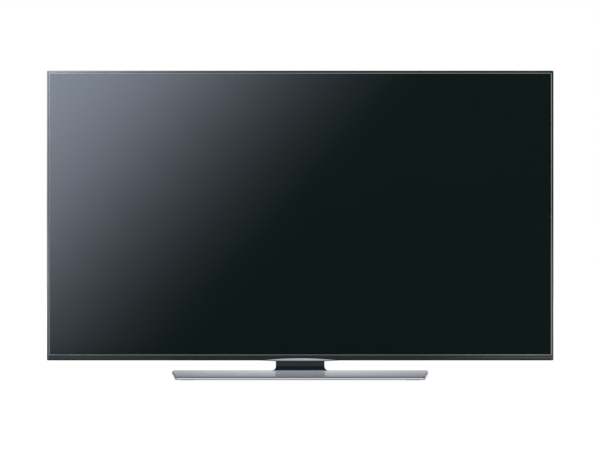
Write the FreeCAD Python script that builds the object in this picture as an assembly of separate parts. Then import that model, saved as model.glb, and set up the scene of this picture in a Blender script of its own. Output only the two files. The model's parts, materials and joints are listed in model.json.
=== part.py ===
"""Flat screen display of the 55 inch class on a low metal table stand.

Millimetres. +X is to the viewer's right, +Y away from the viewer, +Z up. The origin is on the table, in the
middle of the stand's footprint. "Depth" is counted from the front face of the picture frame, backwards.
"""

import FreeCAD
import Part
import math
import os
from FreeCAD import Vector

os.makedirs("parts", exist_ok=True)

# Picture and the frame around it
screen_width = 1209.6
screen_height = 680.4
black_border_side = 2.0
black_border_top = 0.5
side_bezel = 7.0
bottom_bezel = 14.0
bezel_wall = 1.6
bezel_flange = 1.8
bezel_corner_radius = 3.0
bright_edge_width = 2.4
bright_edge_depth = 1.4
chin_chamfer_height = 2.5
chin_chamfer_depth = 2.0
corner_key_thickness = 1.2
corner_key_length = 25.0

# Layers behind the frame
glass_thickness = 1.8
glass_overlap = 3.0
ledge_thickness = 1.2
sheet_thickness = 0.4
sheet_count = 3
guide_thickness = 3.0
guide_overlap = 1.8
reflector_thickness = 0.3
chassis_thickness = 0.8
chassis_wall = 1.0
mid_frame_wall = 0.9
fit_gap = 0.3
snug_gap = 0.1
pin_gap = 0.06

# Edge light along the bottom
light_bar_thickness = 1.5
led_board_thickness = 1.2
led_height = 1.0
led_length = 3.2
led_depth = 2.8
led_count = 96
led_strip_gap = 24.0

# Rear cover
body_depth = 36.0
cover_wall = 2.2
cover_rim_inset = 0.5
side_slope = 70.0
top_slope = 60.0
bottom_slope = 6.0
cover_rim_radius = 3.0
cover_field_radius = 20.0
groove_pitch = 18.0
groove_width = 2.0
groove_depth = 0.8
groove_margin = 24.0
boss_radius = 5.0
cover_screw_head_radius = 2.8
cover_screw_shank_radius = 1.5
cover_screw_head_height = 2.0
cover_screw_sink = 3.0
cover_screw_margin = 22.0
cover_screw_side = 57.0
cover_screw_low = 30.0
cover_screw_room = 9.0
tool_clearance = 2.5
cover_cross_width = 3.4
cover_cross_thickness = 0.9
cover_cross_depth = 1.2
vent_side_gap = 137.0
vent_height = 26.0
vent_border = 4.0
vent_slot_width = 3.4
vent_slot_pitch = 7.9
grille_border = 4.0
grille_margin = 6.0
grille_slot_width = 2.2
grille_slot_pitch = 4.0
grille_rib = 2.4
sound_slot_count = 10
sound_slot_pitch = 8.0
sound_slot_width = 4.0
sound_slot_length = 13.0

# Wall mount
vesa_pitch = 400.0
vesa_hole_radius = 4.0
vesa_boss_radius = 9.0
vesa_thread_depth = 16.0
rail_width = 24.0
rail_thickness = 4.0
rail_overhang = 22.0

# Table stand
stand_front_reach = 190.0
stand_rear_reach = 110.0
base_front_width = 581.4
base_rear_width = 624.6
base_under_neck = 6.0
foot_height = 1.2
core_thickness = 3.5
rim_height = 5.0
rim_width = 7.0
rim_bevel_height = 2.8
rim_bevel_depth = 2.0
rim_under_bevel = 0.5
carrier_inset = 2.8
carrier_rise = 1.6
skin_inset = 2.4
skin_thickness = 1.0
front_corner_radius = 10.0
rear_corner_radius = 4.0
neck_gap = 24.7
neck_width = 118.5
neck_corner_radius = 3.0
neck_wall = 1.6
neck_chassis_gap = 1.9
neck_flare_radius = 9.0
neck_flare_edge = 0.4
bracket_width = 100.0
bracket_plate = 4.0
bracket_flange = 3.0
bracket_front_gap = 3.0
bracket_rise = 105.0
bracket_cover_gap = 1.8
heel_cover_height = 6.4
heel_cover_inset = 2.0
heel_corner_radius = 10.0
foot_length = 34.0
foot_width = 10.0
foot_edge_gap = 4.0
base_screw_spread = 30.0
base_screw_near = 14.0
base_screw_far = 25.0
base_screw_head_radius = 4.0
base_screw_head_height = 1.6
base_screw_shank_radius = 2.0
base_cross_width = 4.4
base_cross_thickness = 1.0
base_cross_depth = 1.0
seat_width = 140.0
seat_thickness = 2.0
seat_low = 12.0
seat_high = 112.0
stand_screw_head_radius = 4.5
stand_screw_head_height = 3.0
stand_screw_shank_radius = 2.5
stand_screw_spread = 36.0
stand_screw_low = 30.0
stand_screw_high = 90.0
stand_screw_grip = 8.0
stand_cross_width = 5.2
stand_cross_thickness = 1.2
stand_cross_depth = 1.8
stand_boss_radius = 6.0

# Sensor lens under the frame
lens_width = 190.0
lens_rise = 5.3
lens_sag = 3.0
lens_proud = 0.6
lens_tail = 6.0
pod_length = 5.0
receiver_width = 30.0
receiver_thickness = 1.0
pod_wall = 0.8
eye_width = 5.0
eye_depth = 2.0
lamp_start = 8.0
lamp_width = 2.0
lamp_depth = 1.2

# Circuit boards
board_thickness = 1.6
board_rail_gap = 0.6
timing_board_lift = 3.9
standoff_radius = 3.0
standoff_floor = 0.6
board_screw_radius = 1.4
board_screw_head_radius = 2.6
board_screw_head_height = 1.6
board_screw_inset = 5.0
board_screw_tip = 1.0
main_board_width = 126.0
main_board_gap = 8.0
main_board_over = 12.0
power_board_width = 240.0
power_board_reach = 130.0
power_board_gap = 20.0
power_board_height = 220.0
timing_board_width = 160.0
timing_board_height = 42.0
stick_board_width = 42.0
shield_side = 20.0
shield_end = 8.0
shield_thickness = 2.5
tall_part_gap = 2.0
ribbon_thickness = 0.3
ribbon_width = 22.0
ribbon_gap = 0.6
ribbon_lap = 8.0
ribbon_start = 30.0
ribbon_drop = 9.0
driver_ribbon_width = 10.0
driver_ribbon_lap = 7.0
driver_board_height = 14.0
driver_board_drop = 20.0
driver_board_start = 60.0
driver_board_length = 470.0
driver_board_thickness = 1.2

# Parts on the boards as shares: left, bottom, width and height of the board, and thickness of the free room
processor_and_tuner_parts = [
    (0.349, 0.199, 0.111, 0.073, 0.26),
    (0.111, 0.178, 0.175, 0.105, 0.10),
    (0.143, 0.702, 0.206, 0.042, 0.32),
]
memory_chip = (0.540, 0.346, 0.095, 0.047, 0.08)
memory_count = 4
memory_pitch = 0.0733
heat_sink = (0.095, 0.356, 0.397, 0.262, 0.70)
heat_sink_plate = 0.19
fin_count = 8
fin_share = 0.25
power_parts = [
    (0.125, 0.409, 0.167, 0.164, 0.95),
    (0.375, 0.409, 0.167, 0.164, 0.95),
    (0.100, 0.091, 0.150, 0.136, 0.90),
    (0.667, 0.136, 0.017, 0.273, 1.00),
    (0.083, 0.773, 0.133, 0.073, 0.60),
    (0.292, 0.864, 0.333, 0.045, 0.55),
]
can_count = 3
can_left = 0.375
can_bottom = 0.10
can_height = 0.145
can_radius_share = 0.45
can_pitch = 3.0

# Sockets
bay_wall = 2.0
bay_floor_lift = 3.9
side_bay_gap = 14.0
side_bay_width = 80.0
side_bay_rise = 117.0
side_bay_height = 210.0
lower_bay_gap = 15.0
lower_bay_rise = 80.0
lower_bay_width = 122.0
lower_bay_height = 60.0
power_bay_width = 75.0
power_bay_rise = 92.0
power_bay_height = 60.0
panel_thickness = 2.0
socket_proud = 0.6
socket_wall = 0.6
socket_length = 15.0
socket_hollow = 10.0
tongue_thickness = 0.8
tongue_side_gap = 3.0
tongue_mouth_gap = 2.0
picture_socket_count = 4
picture_socket_width = 15.0
picture_socket_depth = 5.8
picture_socket_first = 18.0
picture_socket_pitch = 23.0
data_socket_count = 3
data_socket_width = 14.0
data_socket_depth = 6.6
data_socket_first = 109.0
data_socket_pitch = 22.0
network_place = 18.0
network_width = 16.0
network_depth = 13.0
network_length = 18.6
network_mouth_width = 11.8
network_mouth_lift = 2.6
network_mouth_depth = 8.0
network_mouth_length = 15.6
optical_place = 48.0
optical_width = 11.0
optical_depth = 10.4
optical_length = 15.6
optical_mouth_width = 7.6
optical_mouth_lift = 1.4
optical_mouth_depth = 7.6
optical_mouth_length = 9.0
jack_place = 74.0
jack_width = 11.0
jack_length = 16.6
jack_radius = 1.8
jack_bore = 14.0
antenna_place = 102.0
antenna_lift = 6.8
antenna_radius = 4.7
antenna_length = 12.0
antenna_collar_radius = 5.3
antenna_hole_radius = 0.8
antenna_hole_depth = 7.0
tuner_width = 18.0
tuner_depth = 13.4
tuner_height = 34.0
inlet_depth = 15.0
inlet_height = 27.0
inlet_length = 22.0
inlet_wall = 2.0
inlet_floor = 3.0
inlet_proud = 1.0
blade_mouth_gap = 3.0
blade_root = 1.0
blade_depth = 4.0
blade_thickness = 2.0
blade_spread = 8.0

# Loudspeakers
speaker_rise = 10.0
speaker_box_width = 110.0
speaker_box_height = 60.0
speaker_wall = 2.0
speaker_pole_radius = 4.0
speaker_dish_length = 52.8
speaker_dish_width = 13.6
speaker_back_gap = 2.7
speaker_dish_lift = 1.0
speaker_dish_thickness = 1.6
speaker_plate_rise = 9.0
speaker_plate_thickness = 3.0
speaker_plate_width = 40.0
speaker_magnet_height = 8.0
speaker_magnet_width = 32.0
speaker_magnet_gap = 1.0
speaker_yoke_width = 36.0
speaker_coil_reach = 3.0
woofer_spread = 140.0
woofer_rise = 64.0
woofer_radius = 34.0
woofer_box_margin = 14.0
woofer_pole_radius = 9.0
edge_gap = 0.6
woofer_plate_thickness = 2.0
woofer_plate_radius = 24.0
woofer_magnet_thickness = 4.4
woofer_magnet_radius = 26.0
woofer_magnet_gap = 2.0
woofer_dish_depth = 6.0
woofer_dish_thickness = 1.2
woofer_cap_lift = 0.6
woofer_coil_start = 4.6
coil_gap = 0.3
coil_wall = 0.6

# Control stick on the back
stick_inset = 29.0
stick_rise = 48.0
stick_floor = 1.2
stick_pivot_lift = 3.6
stick_case_over = 4.4
stick_case_wall = 2.6
gimbal_radius = 9.0
gimbal_inside_radius = 6.5
gimbal_thickness = 3.0
gimbal_gap = 1.4
gimbal_pin_length = 2.6
pin_root = 0.6
pin_bore_stop = 1.0
sleeve_wall = 2.0
sleeve_below = 2.6
sleeve_above = 4.6
sleeve_pin_length = 3.8
stem_below = 1.6
stick_pin_radius = 0.9
stick_stem_radius = 2.4
knob_radius = 8.0
knob_proud = 3.0
knob_height = 8.0
knob_dish_radius = 30.0
knob_dish_depth = 1.0
stick_hole_radius = 11.0

# Depths of the layers
glass_front = bezel_flange
glass_back = glass_front + glass_thickness
ledge_back = glass_back + ledge_thickness
sheets_back = ledge_back + sheet_count * sheet_thickness
guide_back = sheets_back + guide_thickness
reflector_back = guide_back + reflector_thickness
chassis_back = reflector_back + chassis_thickness
cover_run = body_depth - chassis_back
cover_inside = body_depth - cover_wall

# Heights and the front plane
front_y = (stand_front_reach - stand_rear_reach) / 2
rim_top = foot_height + rim_height
core_top = foot_height + core_thickness
carrier_top = rim_top + carrier_rise
base_top = carrier_top + skin_thickness
opening_width = screen_width + 2 * black_border_side
opening_height = screen_height + 2 * black_border_top
body_width = opening_width + 2 * side_bezel
body_height = opening_height + side_bezel + bottom_bezel
body_bottom = base_top + neck_gap
body_top = body_bottom + body_height
middle_height = body_bottom + body_height / 2
rail_back = chassis_back + rail_thickness
cover_screw_seat = body_depth - cover_screw_sink - cover_screw_head_height
neck_front = chassis_back + neck_chassis_gap
neck_back = body_depth
neck_middle = (neck_front + neck_back) / 2
bracket_front = cover_inside - bracket_plate - bracket_cover_gap
flange_front = neck_front + neck_wall + bracket_front_gap
base_back = neck_front + base_under_neck
base_y0 = front_y - stand_front_reach
base_y1 = front_y + base_back
heel_y = front_y + stand_rear_reach


class Rect:
    """An upright rectangle seen from the front."""

    def __init__(self, left, right, bottom, top):
        self.left = left
        self.right = right
        self.bottom = bottom
        self.top = top

    def inset(self, side, bottom=None, top=None):
        """The rectangle with each side moved inwards."""
        bottom = side if bottom is None else bottom
        top = side if top is None else top
        return Rect(self.left + side, self.right - side, self.bottom + bottom, self.top - top)

    def corners(self):
        """Bottom left, bottom right, top right and top left."""
        return [
            (self.left, self.bottom),
            (self.right, self.bottom),
            (self.right, self.top),
            (self.left, self.top),
        ]


body = Rect(-body_width / 2, body_width / 2, body_bottom, body_top)
opening = Rect(
    -opening_width / 2, opening_width / 2, body_bottom + bottom_bezel, body_top - side_bezel
)
glass_rect = opening.inset(-glass_overlap)
mid_inset = bezel_wall + corner_key_thickness
pan_inset = mid_inset + mid_frame_wall
light_bottom = body_bottom + pan_inset + chassis_wall
led_board_bottom = light_bottom + light_bar_thickness
led_bottom = led_board_bottom + led_board_thickness
guide_bottom = led_bottom + led_height + fit_gap


# Shape helpers


def box(x0, x1, depth0, depth1, z0, z1):
    """A block between two depths behind the frame's front face."""
    return Part.makeBox(x1 - x0, depth1 - depth0, z1 - z0, Vector(x0, front_y + depth0, z0))


def rod(x, z, depth0, depth1, radius):
    """A cylinder that runs from front to back."""
    return Part.makeCylinder(
        radius, depth1 - depth0, Vector(x, front_y + depth0, z), Vector(0, 1, 0)
    )


def post(x, depth, z0, z1, radius):
    """An upright cylinder."""
    return Part.makeCylinder(radius, z1 - z0, Vector(x, front_y + depth, z0), Vector(0, 0, 1))


def rounded_wire(points, radii, place):
    """A closed outline with an arc at each corner; place turns two numbers into a point."""
    count = len(points)
    edges = []
    starts = []
    ends = []
    middles = []
    for i, (corner, radius) in enumerate(zip(points, radii)):
        before = points[i - 1]
        after = points[(i + 1) % count]
        to_before = unit(before[0] - corner[0], before[1] - corner[1])
        to_after = unit(after[0] - corner[0], after[1] - corner[1])
        cosine = to_before[0] * to_after[0] + to_before[1] * to_after[1]
        half = math.acos(max(-1.0, min(1.0, cosine))) / 2
        reach = radius / math.tan(half)
        bisector = unit(to_before[0] + to_after[0], to_before[1] + to_after[1])
        deep = radius / math.sin(half) - radius
        starts.append((corner[0] + to_before[0] * reach, corner[1] + to_before[1] * reach))
        ends.append((corner[0] + to_after[0] * reach, corner[1] + to_after[1] * reach))
        middles.append((corner[0] + bisector[0] * deep, corner[1] + bisector[1] * deep))
    for i in range(count):
        following = (i + 1) % count
        if radii[i] > 0:
            arc = Part.Arc(place(*starts[i]), place(*middles[i]), place(*ends[i]))
            edges.append(arc.toShape())
        edges.append(Part.LineSegment(place(*ends[i]), place(*starts[following])).toShape())
    return Part.Wire(edges)


def unit(a, b):
    """A direction of length one."""
    length = math.hypot(a, b)
    return a / length, b / length


def upright_wire(rect, depth, radius=0.0):
    """The outline of a rectangle at one depth."""

    def place(x, z):
        return Vector(x, front_y + depth, z)

    return rounded_wire(rect.corners(), [radius] * 4, place)


def slab(rect, depth0, depth1, radius=0.0):
    """A rectangle given a thickness from front to back."""
    face = Part.Face(upright_wire(rect, depth0, radius))
    return face.extrude(Vector(0, depth1 - depth0, 0))


def taper(rect0, depth0, radius0, rect1, depth1, radius1):
    """A solid whose outline changes from one rectangle to another."""
    wires = [upright_wire(rect0, depth0, radius0), upright_wire(rect1, depth1, radius1)]
    return Part.makeLoft(wires, True, True)


def ring(outer, inner, depth0, depth1):
    """A rectangular frame."""
    return slab(outer, depth0, depth1).cut(slab(inner, depth0 - 1, depth1 + 1))


def prism(points, depth0, depth1):
    """A polygon seen from the front, given a thickness."""
    corners = [Vector(x, front_y + depth0, z) for x, z in points]
    face = Part.Face(Part.makePolygon(corners + corners[:1]))
    return face.extrude(Vector(0, depth1 - depth0, 0))


def fuse(shapes):
    """Several shapes joined into one."""
    joined = shapes[0]
    if len(shapes) > 1:
        joined = joined.fuse(shapes[1:])
    return joined.removeSplitter()


def cut(shape, tools):
    """A shape with several others taken out of it."""
    return shape.cut(Part.makeCompound(tools)) if tools else shape


def save(name, shapes):
    """Writes a node, which is one solid or a group of separate solids."""
    solids = [solid for shape in shapes for solid in shape.Solids]
    for solid in solids:
        if not solid.isValid() or solid.Volume <= 0:
            print("bad solid in", name, solid.Volume)
    group = solids[0] if len(solids) == 1 else Part.makeCompound(solids)
    group.exportStep("parts/" + name + ".step")


# Sensor lens outline, used by the frame, the lens and its pod


def lens_outline(grow, low_only, depth0, depth1):
    """The leaf-shaped lens, or only the half under the frame, between two depths."""
    half = lens_width / 2 + grow
    high = 0.0 if low_only else lens_rise + grow
    left = Vector(-half, front_y + depth0, body_bottom)
    right = Vector(half, front_y + depth0, body_bottom)
    low = Vector(0, front_y + depth0, body_bottom - lens_sag - grow)
    under = Part.Arc(right, low, left).toShape()
    if low_only:
        over = Part.LineSegment(left, right).toShape()
    else:
        over = Part.Arc(left, Vector(0, front_y + depth0, body_bottom + high), right).toShape()
    face = Part.Face(Part.Wire([over, under]))
    return face.extrude(Vector(0, depth1 - depth0, 0))


# Picture frame


def bezel_ring():
    """The whole frame before it is parted at its mitres."""
    shell = slab(body, 0, chassis_back, bezel_corner_radius)
    hollow = slab(body.inset(bezel_wall), bezel_flange, chassis_back + 1)
    window = slab(opening, -1, bezel_flange + 1)
    before = bright_edge_depth / 2
    flare = bright_edge_width * (1 + before / bright_edge_depth)
    bright_edge = taper(
        opening.inset(-flare), -before, 0, opening, bright_edge_depth, 0
    )
    run = Vector(body_width + 2, 0, 0)
    low = body_bottom - chin_chamfer_height / 2
    front = front_y - chin_chamfer_depth / 2
    corners = [
        Vector(-body_width / 2 - 1, front, low),
        Vector(-body_width / 2 - 1, front, body_bottom + chin_chamfer_height * 1.5),
        Vector(-body_width / 2 - 1, front_y + chin_chamfer_depth * 1.5, low),
    ]
    chin_chamfer = Part.Face(Part.makePolygon(corners + corners[:1])).extrude(run)
    lens_seat = lens_outline(snug_gap, False, -1, glass_back)
    return cut(shell, [hollow, window, bright_edge, chin_chamfer, lens_seat])


def mitre_prisms():
    """Four blocks that part the frame along the lines from inner to outer corner."""
    outer = []
    inner = []
    for (bx, bz), (ox, oz) in zip(body.corners(), opening.corners()):
        outer.append((bx + (bx - ox) / 2, bz + (bz - oz) / 2))
        inner.append((ox - (bx - ox) / 2, oz - (bz - oz) / 2))
    prisms = []
    for i in range(4):
        j = (i + 1) % 4
        prisms.append(prism([outer[i], outer[j], inner[j], inner[i]], -1, chassis_back + 1))
    return prisms


def corner_keys():
    """Angle pieces inside the frame that hold its corners together."""
    keys = []
    inner = body.inset(bezel_wall)
    low = bezel_flange + fit_gap
    high = chassis_back - fit_gap
    for x, z in inner.corners():
        step_x = -math.copysign(1, x)
        step_z = 1 if z < middle_height else -1
        xs = sorted([x, x + step_x * corner_key_thickness])
        zs = sorted([z, z + step_z * corner_key_length])
        upright = box(xs[0], xs[1], low, high, zs[0], zs[1])
        xs = sorted([x, x + step_x * corner_key_length])
        zs = sorted([z, z + step_z * corner_key_thickness])
        keys.append(fuse([upright, box(xs[0], xs[1], low, high, zs[0], zs[1])]))
    return keys


def picture_frame():
    whole = bezel_ring()
    names = ["bezel_bottom", "bezel_right", "bezel_top", "bezel_left"]
    for name, block in zip(names, mitre_prisms()):
        save(name, [whole.common(block)])
    save("bezel_corner_keys", corner_keys())


# Panel and light


def panel_layers():
    save("lcd_glass", [slab(glass_rect, glass_front, glass_back)])

    outer = body.inset(mid_inset)
    ledge = ring(outer, opening, glass_back, ledge_back)
    rib = ring(outer, glass_rect.inset(-fit_gap), glass_front, glass_back)
    skirt = ring(outer, body.inset(pan_inset), ledge_back, reflector_back)
    lens_room = lens_outline(fit_gap, False, 0, glass_back)
    save("mid_frame", [fuse([ledge, rib.cut(lens_room), skirt])])

    lit = opening.inset(-guide_overlap)
    lit.bottom = guide_bottom
    sheets = []
    for i in range(sheet_count):
        start = ledge_back + i * sheet_thickness
        sheets.append(slab(lit, start, start + sheet_thickness))
    save("optical_sheets", sheets)
    save("light_guide", [slab(lit, sheets_back, guide_back)])
    save("reflector_sheet", [slab(lit, guide_back, reflector_back)])

    pan = body.inset(pan_inset)
    plate = slab(pan, reflector_back, chassis_back)
    wall = ring(pan, pan.inset(chassis_wall), ledge_back, reflector_back)
    holes = [rod(x, z, reflector_back - 1, chassis_back + 1, cover_screw_shank_radius + snug_gap)
             for x, z in cover_screw_places()]
    save("rear_chassis", [cut(fuse([plate, wall]), holes)])


def edge_light():
    """LED strips on a metal bar that carries their heat away."""
    half = body_width / 2 - pan_inset - chassis_wall - fit_gap
    front = ledge_back + fit_gap
    bar = box(-half, half, front, reflector_back, light_bottom, led_board_bottom)
    save("led_heat_bar", [bar])
    boards = []
    leds = []
    middle = (sheets_back + guide_back) / 2
    room = half - led_strip_gap / 2
    pitch = room / (led_count / 2)
    for side in (-1, 1):
        xs = sorted([side * led_strip_gap / 2, side * half])
        boards.append(box(xs[0], xs[1], front, reflector_back - fit_gap, led_board_bottom, led_bottom))
        for i in range(int(led_count / 2)):
            x = side * (led_strip_gap / 2 + (i + 0.5) * pitch)
            leds.append(box(x - led_length / 2, x + led_length / 2, middle - led_depth / 2,
                            middle + led_depth / 2, led_bottom, led_bottom + led_height))
    save("led_strips", boards + leds)


# Rear cover


def cover_rect(depth, shrink):
    """The rear cover's outline at one depth, moved inwards by a wall's thickness."""
    share = (depth - chassis_back) / cover_run
    insets = []
    for slope in (side_slope, bottom_slope, top_slope):
        lean = (slope - cover_rim_inset) / cover_run
        square = math.sqrt(1 + lean * lean)
        insets.append(cover_rim_inset + (slope - cover_rim_inset) * share + shrink * square)
    return body.inset(*insets)


def cover_radius(depth, shrink):
    """The outline's corner radius at one depth."""
    share = (depth - chassis_back) / cover_run
    radius = cover_rim_radius + (cover_field_radius - cover_rim_radius) * share
    return max(radius - shrink, 0.5)


def cover_solid(depth0, depth1, shrink):
    """The rear cover's tapered form."""
    return taper(
        cover_rect(depth0, shrink), depth0, cover_radius(depth0, shrink),
        cover_rect(depth1, shrink), depth1, cover_radius(depth1, shrink),
    )


field = cover_rect(body_depth, 0)
bay_floor = chassis_back + bay_floor_lift
bay_middle = (bay_floor + cover_inside) / 2
vesa_reach = vesa_pitch / 2 + vesa_boss_radius
vesa_places = [
    (sx * vesa_pitch / 2, middle_height + sz * vesa_pitch / 2) for sx in (-1, 1) for sz in (-1, 1)
]

# Rows and columns of the back, from the edges of its flat field
screw_top = field.top - cover_screw_margin
vent_middle = (middle_height + vesa_reach + screw_top - boss_radius) / 2
vent_bottom = vent_middle - vent_height / 2
vent_top = vent_middle + vent_height / 2
vent_half = field.right - vent_side_gap
stick_x = field.right - stick_inset
stick_z = body_bottom + stick_rise
outer_screw_x = stick_x - stick_board_width / 2 - cover_screw_room
speaker_right = outer_screw_x - cover_screw_room
speaker_left = speaker_right - speaker_box_width
speaker_bottom = body_bottom + speaker_rise
speaker_x = (speaker_left + speaker_right) / 2
speaker_back = body_depth - speaker_back_gap - cover_wall
speaker_depth = (chassis_back + speaker_back) / 2
woofer_z = body_bottom + woofer_rise
woofer_box_half = woofer_radius + woofer_box_margin
woofer_back = cover_inside - fit_gap
inner_screw_x = (woofer_spread + woofer_box_half + speaker_left) / 2
lower_bay_left = vesa_reach + lower_bay_gap
side_bay_left = max(lower_bay_left + lower_bay_width + side_bay_gap, vesa_reach)
side_bay = Rect(side_bay_left, side_bay_left + side_bay_width, body_bottom + side_bay_rise,
                body_bottom + side_bay_rise + side_bay_height)
lower_bay = Rect(lower_bay_left, lower_bay_left + lower_bay_width, body_bottom + lower_bay_rise,
                 body_bottom + lower_bay_rise + lower_bay_height)
power_bay = Rect(-side_bay.left - power_bay_width, -side_bay.left, body_bottom + power_bay_rise,
                 body_bottom + power_bay_rise + power_bay_height)
inlet_z = (power_bay.bottom + power_bay.top) / 2


def cover_screw_places():
    """Where the rear cover is screwed to the chassis."""
    wide = field.right - cover_screw_side
    places = [(wide * step / 2, screw_top) for step in range(-2, 3)]
    places += [(side * wide, middle_height) for side in (-1, 1)]
    low = body_bottom + cover_screw_low
    places += [(side * inner_screw_x, low) for side in (-1, 1)]
    places += [(side * outer_screw_x, low) for side in (-1, 1)]
    return places


def stand_screw_places():
    """Where the stand's bracket is screwed to the chassis."""
    return [
        (side * stand_screw_spread, body_bottom + rise)
        for side in (-1, 1)
        for rise in (stand_screw_low, stand_screw_high)
    ]


def cross_recess(centre, faces_back, width, thickness, deep):
    """The cross in a screw's head, which faces back or down; centre lies on the head's face."""
    past = 1
    arms = []
    for wide, tall in ((width, thickness), (thickness, width)):
        if faces_back:
            low = Vector(centre.x - wide / 2, centre.y - deep, centre.z - tall / 2)
            arms.append(Part.makeBox(wide, deep + past, tall, low))
        else:
            low = Vector(centre.x - wide / 2, centre.y - tall / 2, centre.z - past)
            arms.append(Part.makeBox(wide, tall, deep + past, low))
    return fuse(arms)


def well_outlines():
    """The outer outlines of the three wells that the sockets stand in."""
    side_well = Rect(side_bay.left - panel_thickness, side_bay.right + bay_wall,
                     side_bay.bottom - bay_wall, side_bay.top + bay_wall)
    lower_well = Rect(lower_bay.left - bay_wall, lower_bay.right + bay_wall,
                      lower_bay.bottom - bay_wall, lower_bay.top + panel_thickness)
    return [side_well, lower_well, power_bay.inset(-bay_wall)]


def cover_openings():
    """Everything that is cut through or into the rear cover."""
    tools = []
    past = body_depth + 1
    for bay in (side_bay, lower_bay, power_bay):
        tools.append(slab(bay, bay_floor, past))
    tools.append(box(side_bay.left - panel_thickness - 1, side_bay.left + 1, bay_floor, cover_inside,
                     side_bay.bottom, side_bay.top))
    tools.append(box(lower_bay.left, lower_bay.right, bay_floor, cover_inside,
                     lower_bay.top - 1, lower_bay.top + panel_thickness + 1))
    tools.append(box(power_bay.right - 1, power_bay.right + bay_wall + 1,
                     bay_middle - inlet_depth / 2 - snug_gap, bay_middle + inlet_depth / 2 + snug_gap,
                     inlet_z - inlet_height / 2 - snug_gap, inlet_z + inlet_height / 2 + snug_gap))
    for x, z in cover_screw_places():
        tools.append(rod(x, z, cover_screw_seat, past, cover_screw_head_radius + fit_gap))
        tools.append(rod(x, z, chassis_back - 1, cover_screw_seat + 1,
                         cover_screw_shank_radius + snug_gap))
    for x, z in vesa_places:
        tools.append(rod(x, z, cover_inside - 1, past, vesa_boss_radius + snug_gap))
    for x, z in stand_screw_places():
        tools.append(rod(x, z, cover_inside - 1, past, stand_screw_head_radius + tool_clearance))
    for side in (-1, 1):
        tools.append(rod(side * woofer_spread, woofer_z, cover_inside - 1, past,
                         woofer_radius + grille_margin + snug_gap))
        for i in range(sound_slot_count):
            middle = side * speaker_x + (i - (sound_slot_count - 1) / 2) * sound_slot_pitch
            tools.append(box(middle - sound_slot_width / 2, middle + sound_slot_width / 2,
                             speaker_depth - sound_slot_length / 2,
                             speaker_depth + sound_slot_length / 2,
                             body_bottom - 1, speaker_bottom))
    tools.append(rod(stick_x, stick_z, cover_inside - 1, past, stick_hole_radius))
    tools.append(box(-vent_half - snug_gap, vent_half + snug_gap, cover_inside - 1, past,
                     vent_bottom - snug_gap, vent_top + snug_gap))
    tools.append(box(-bracket_width / 2 - fit_gap, bracket_width / 2 + fit_gap,
                     flange_front - fit_gap, bracket_front + bracket_plate + fit_gap,
                     body_bottom - 1, body_bottom + seat_low))
    z = vent_bottom - groove_pitch
    while z > side_bay.bottom - groove_pitch:
        tools.append(box(field.left + groove_margin, field.right - groove_margin,
                         body_depth - groove_depth, past, z - groove_width / 2, z + groove_width / 2))
        z -= groove_pitch
    return tools


def rear_cover():
    shell = cover_solid(chassis_back, body_depth, 0)
    shell = shell.cut(cover_solid(chassis_back - 1, cover_inside, cover_wall))
    bodies = [shell]
    for outline in well_outlines():
        bodies.append(slab(outline, bay_floor - bay_wall, body_depth - cover_wall / 2))
    for x, z in cover_screw_places():
        bodies.append(rod(x, z, chassis_back, body_depth - cover_wall / 2, boss_radius))
    save("rear_cover", [cut(fuse(bodies), cover_openings())])

    screws = []
    for x, z in cover_screw_places():
        face = cover_screw_seat + cover_screw_head_height
        head = rod(x, z, cover_screw_seat, face, cover_screw_head_radius)
        shank = rod(x, z, reflector_back, cover_screw_seat, cover_screw_shank_radius)
        recess = cross_recess(Vector(x, front_y + face, z), True, cover_cross_width,
                              cover_cross_thickness, cover_cross_depth)
        screws.append(fuse([head, shank]).cut(recess))
    save("rear_cover_screws", screws)


def grilles():
    """Separate slotted plates let into the rear cover."""
    before = cover_inside - 1
    past = body_depth + 1
    plate = box(-vent_half, vent_half, cover_inside, body_depth, vent_bottom, vent_top)
    count = int((2 * vent_half - 2 * vent_border) / vent_slot_pitch)
    slots = []
    for i in range(count):
        x = (i - (count - 1) / 2) * vent_slot_pitch
        slots.append(box(x - vent_slot_width / 2, x + vent_slot_width / 2, before, past,
                         vent_bottom + vent_border, vent_top - vent_border))
    save("top_vent_grille", [cut(plate, slots)])

    discs = []
    radius = woofer_radius + grille_margin
    open_radius = radius - grille_border
    rows = int((open_radius - grille_rib) / grille_slot_pitch)
    for side in (-1, 1):
        x = side * woofer_spread
        disc = rod(x, woofer_z, cover_inside, body_depth, radius)
        slots = []
        for i in range(-rows, rows + 1):
            z = woofer_z + i * grille_slot_pitch
            half = math.sqrt(open_radius ** 2 - (i * grille_slot_pitch) ** 2)
            for left, right in ((x - half, x - grille_rib / 2), (x + grille_rib / 2, x + half)):
                slots.append(box(left, right, before, past, z - grille_slot_width / 2,
                                 z + grille_slot_width / 2))
        discs.append(cut(disc, slots))
    save("woofer_grilles", discs)


# Wall mount


def wall_mount():
    """Two steel rails on the chassis, each with two threaded inserts."""
    low = middle_height - vesa_pitch / 2 - rail_overhang
    high = middle_height + vesa_pitch / 2 + rail_overhang
    pieces = []
    for side in (-1, 1):
        x = side * vesa_pitch / 2
        pieces.append(box(x - rail_width / 2, x + rail_width / 2, chassis_back, rail_back, low, high))
    for x, z in vesa_places:
        insert = rod(x, z, rail_back, body_depth, vesa_boss_radius)
        bore = rod(x, z, body_depth - vesa_thread_depth, body_depth + 1, vesa_hole_radius)
        pieces.append(insert.cut(bore))
    save("wall_mount_rails", pieces)


# Stand


def base_corners(inset, rear_inset):
    """The tapered plan of the base, moved inwards."""
    slant = (base_rear_width - base_front_width) / 2 / (base_y1 - base_y0)
    square = math.sqrt(1 + slant * slant)

    def half(y):
        return base_front_width / 2 + slant * (y - base_y0) - inset * square

    low = base_y0 + inset
    high = base_y1 - rear_inset
    return [(-half(low), low), (half(low), low), (half(high), high), (-half(high), high)]


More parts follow.
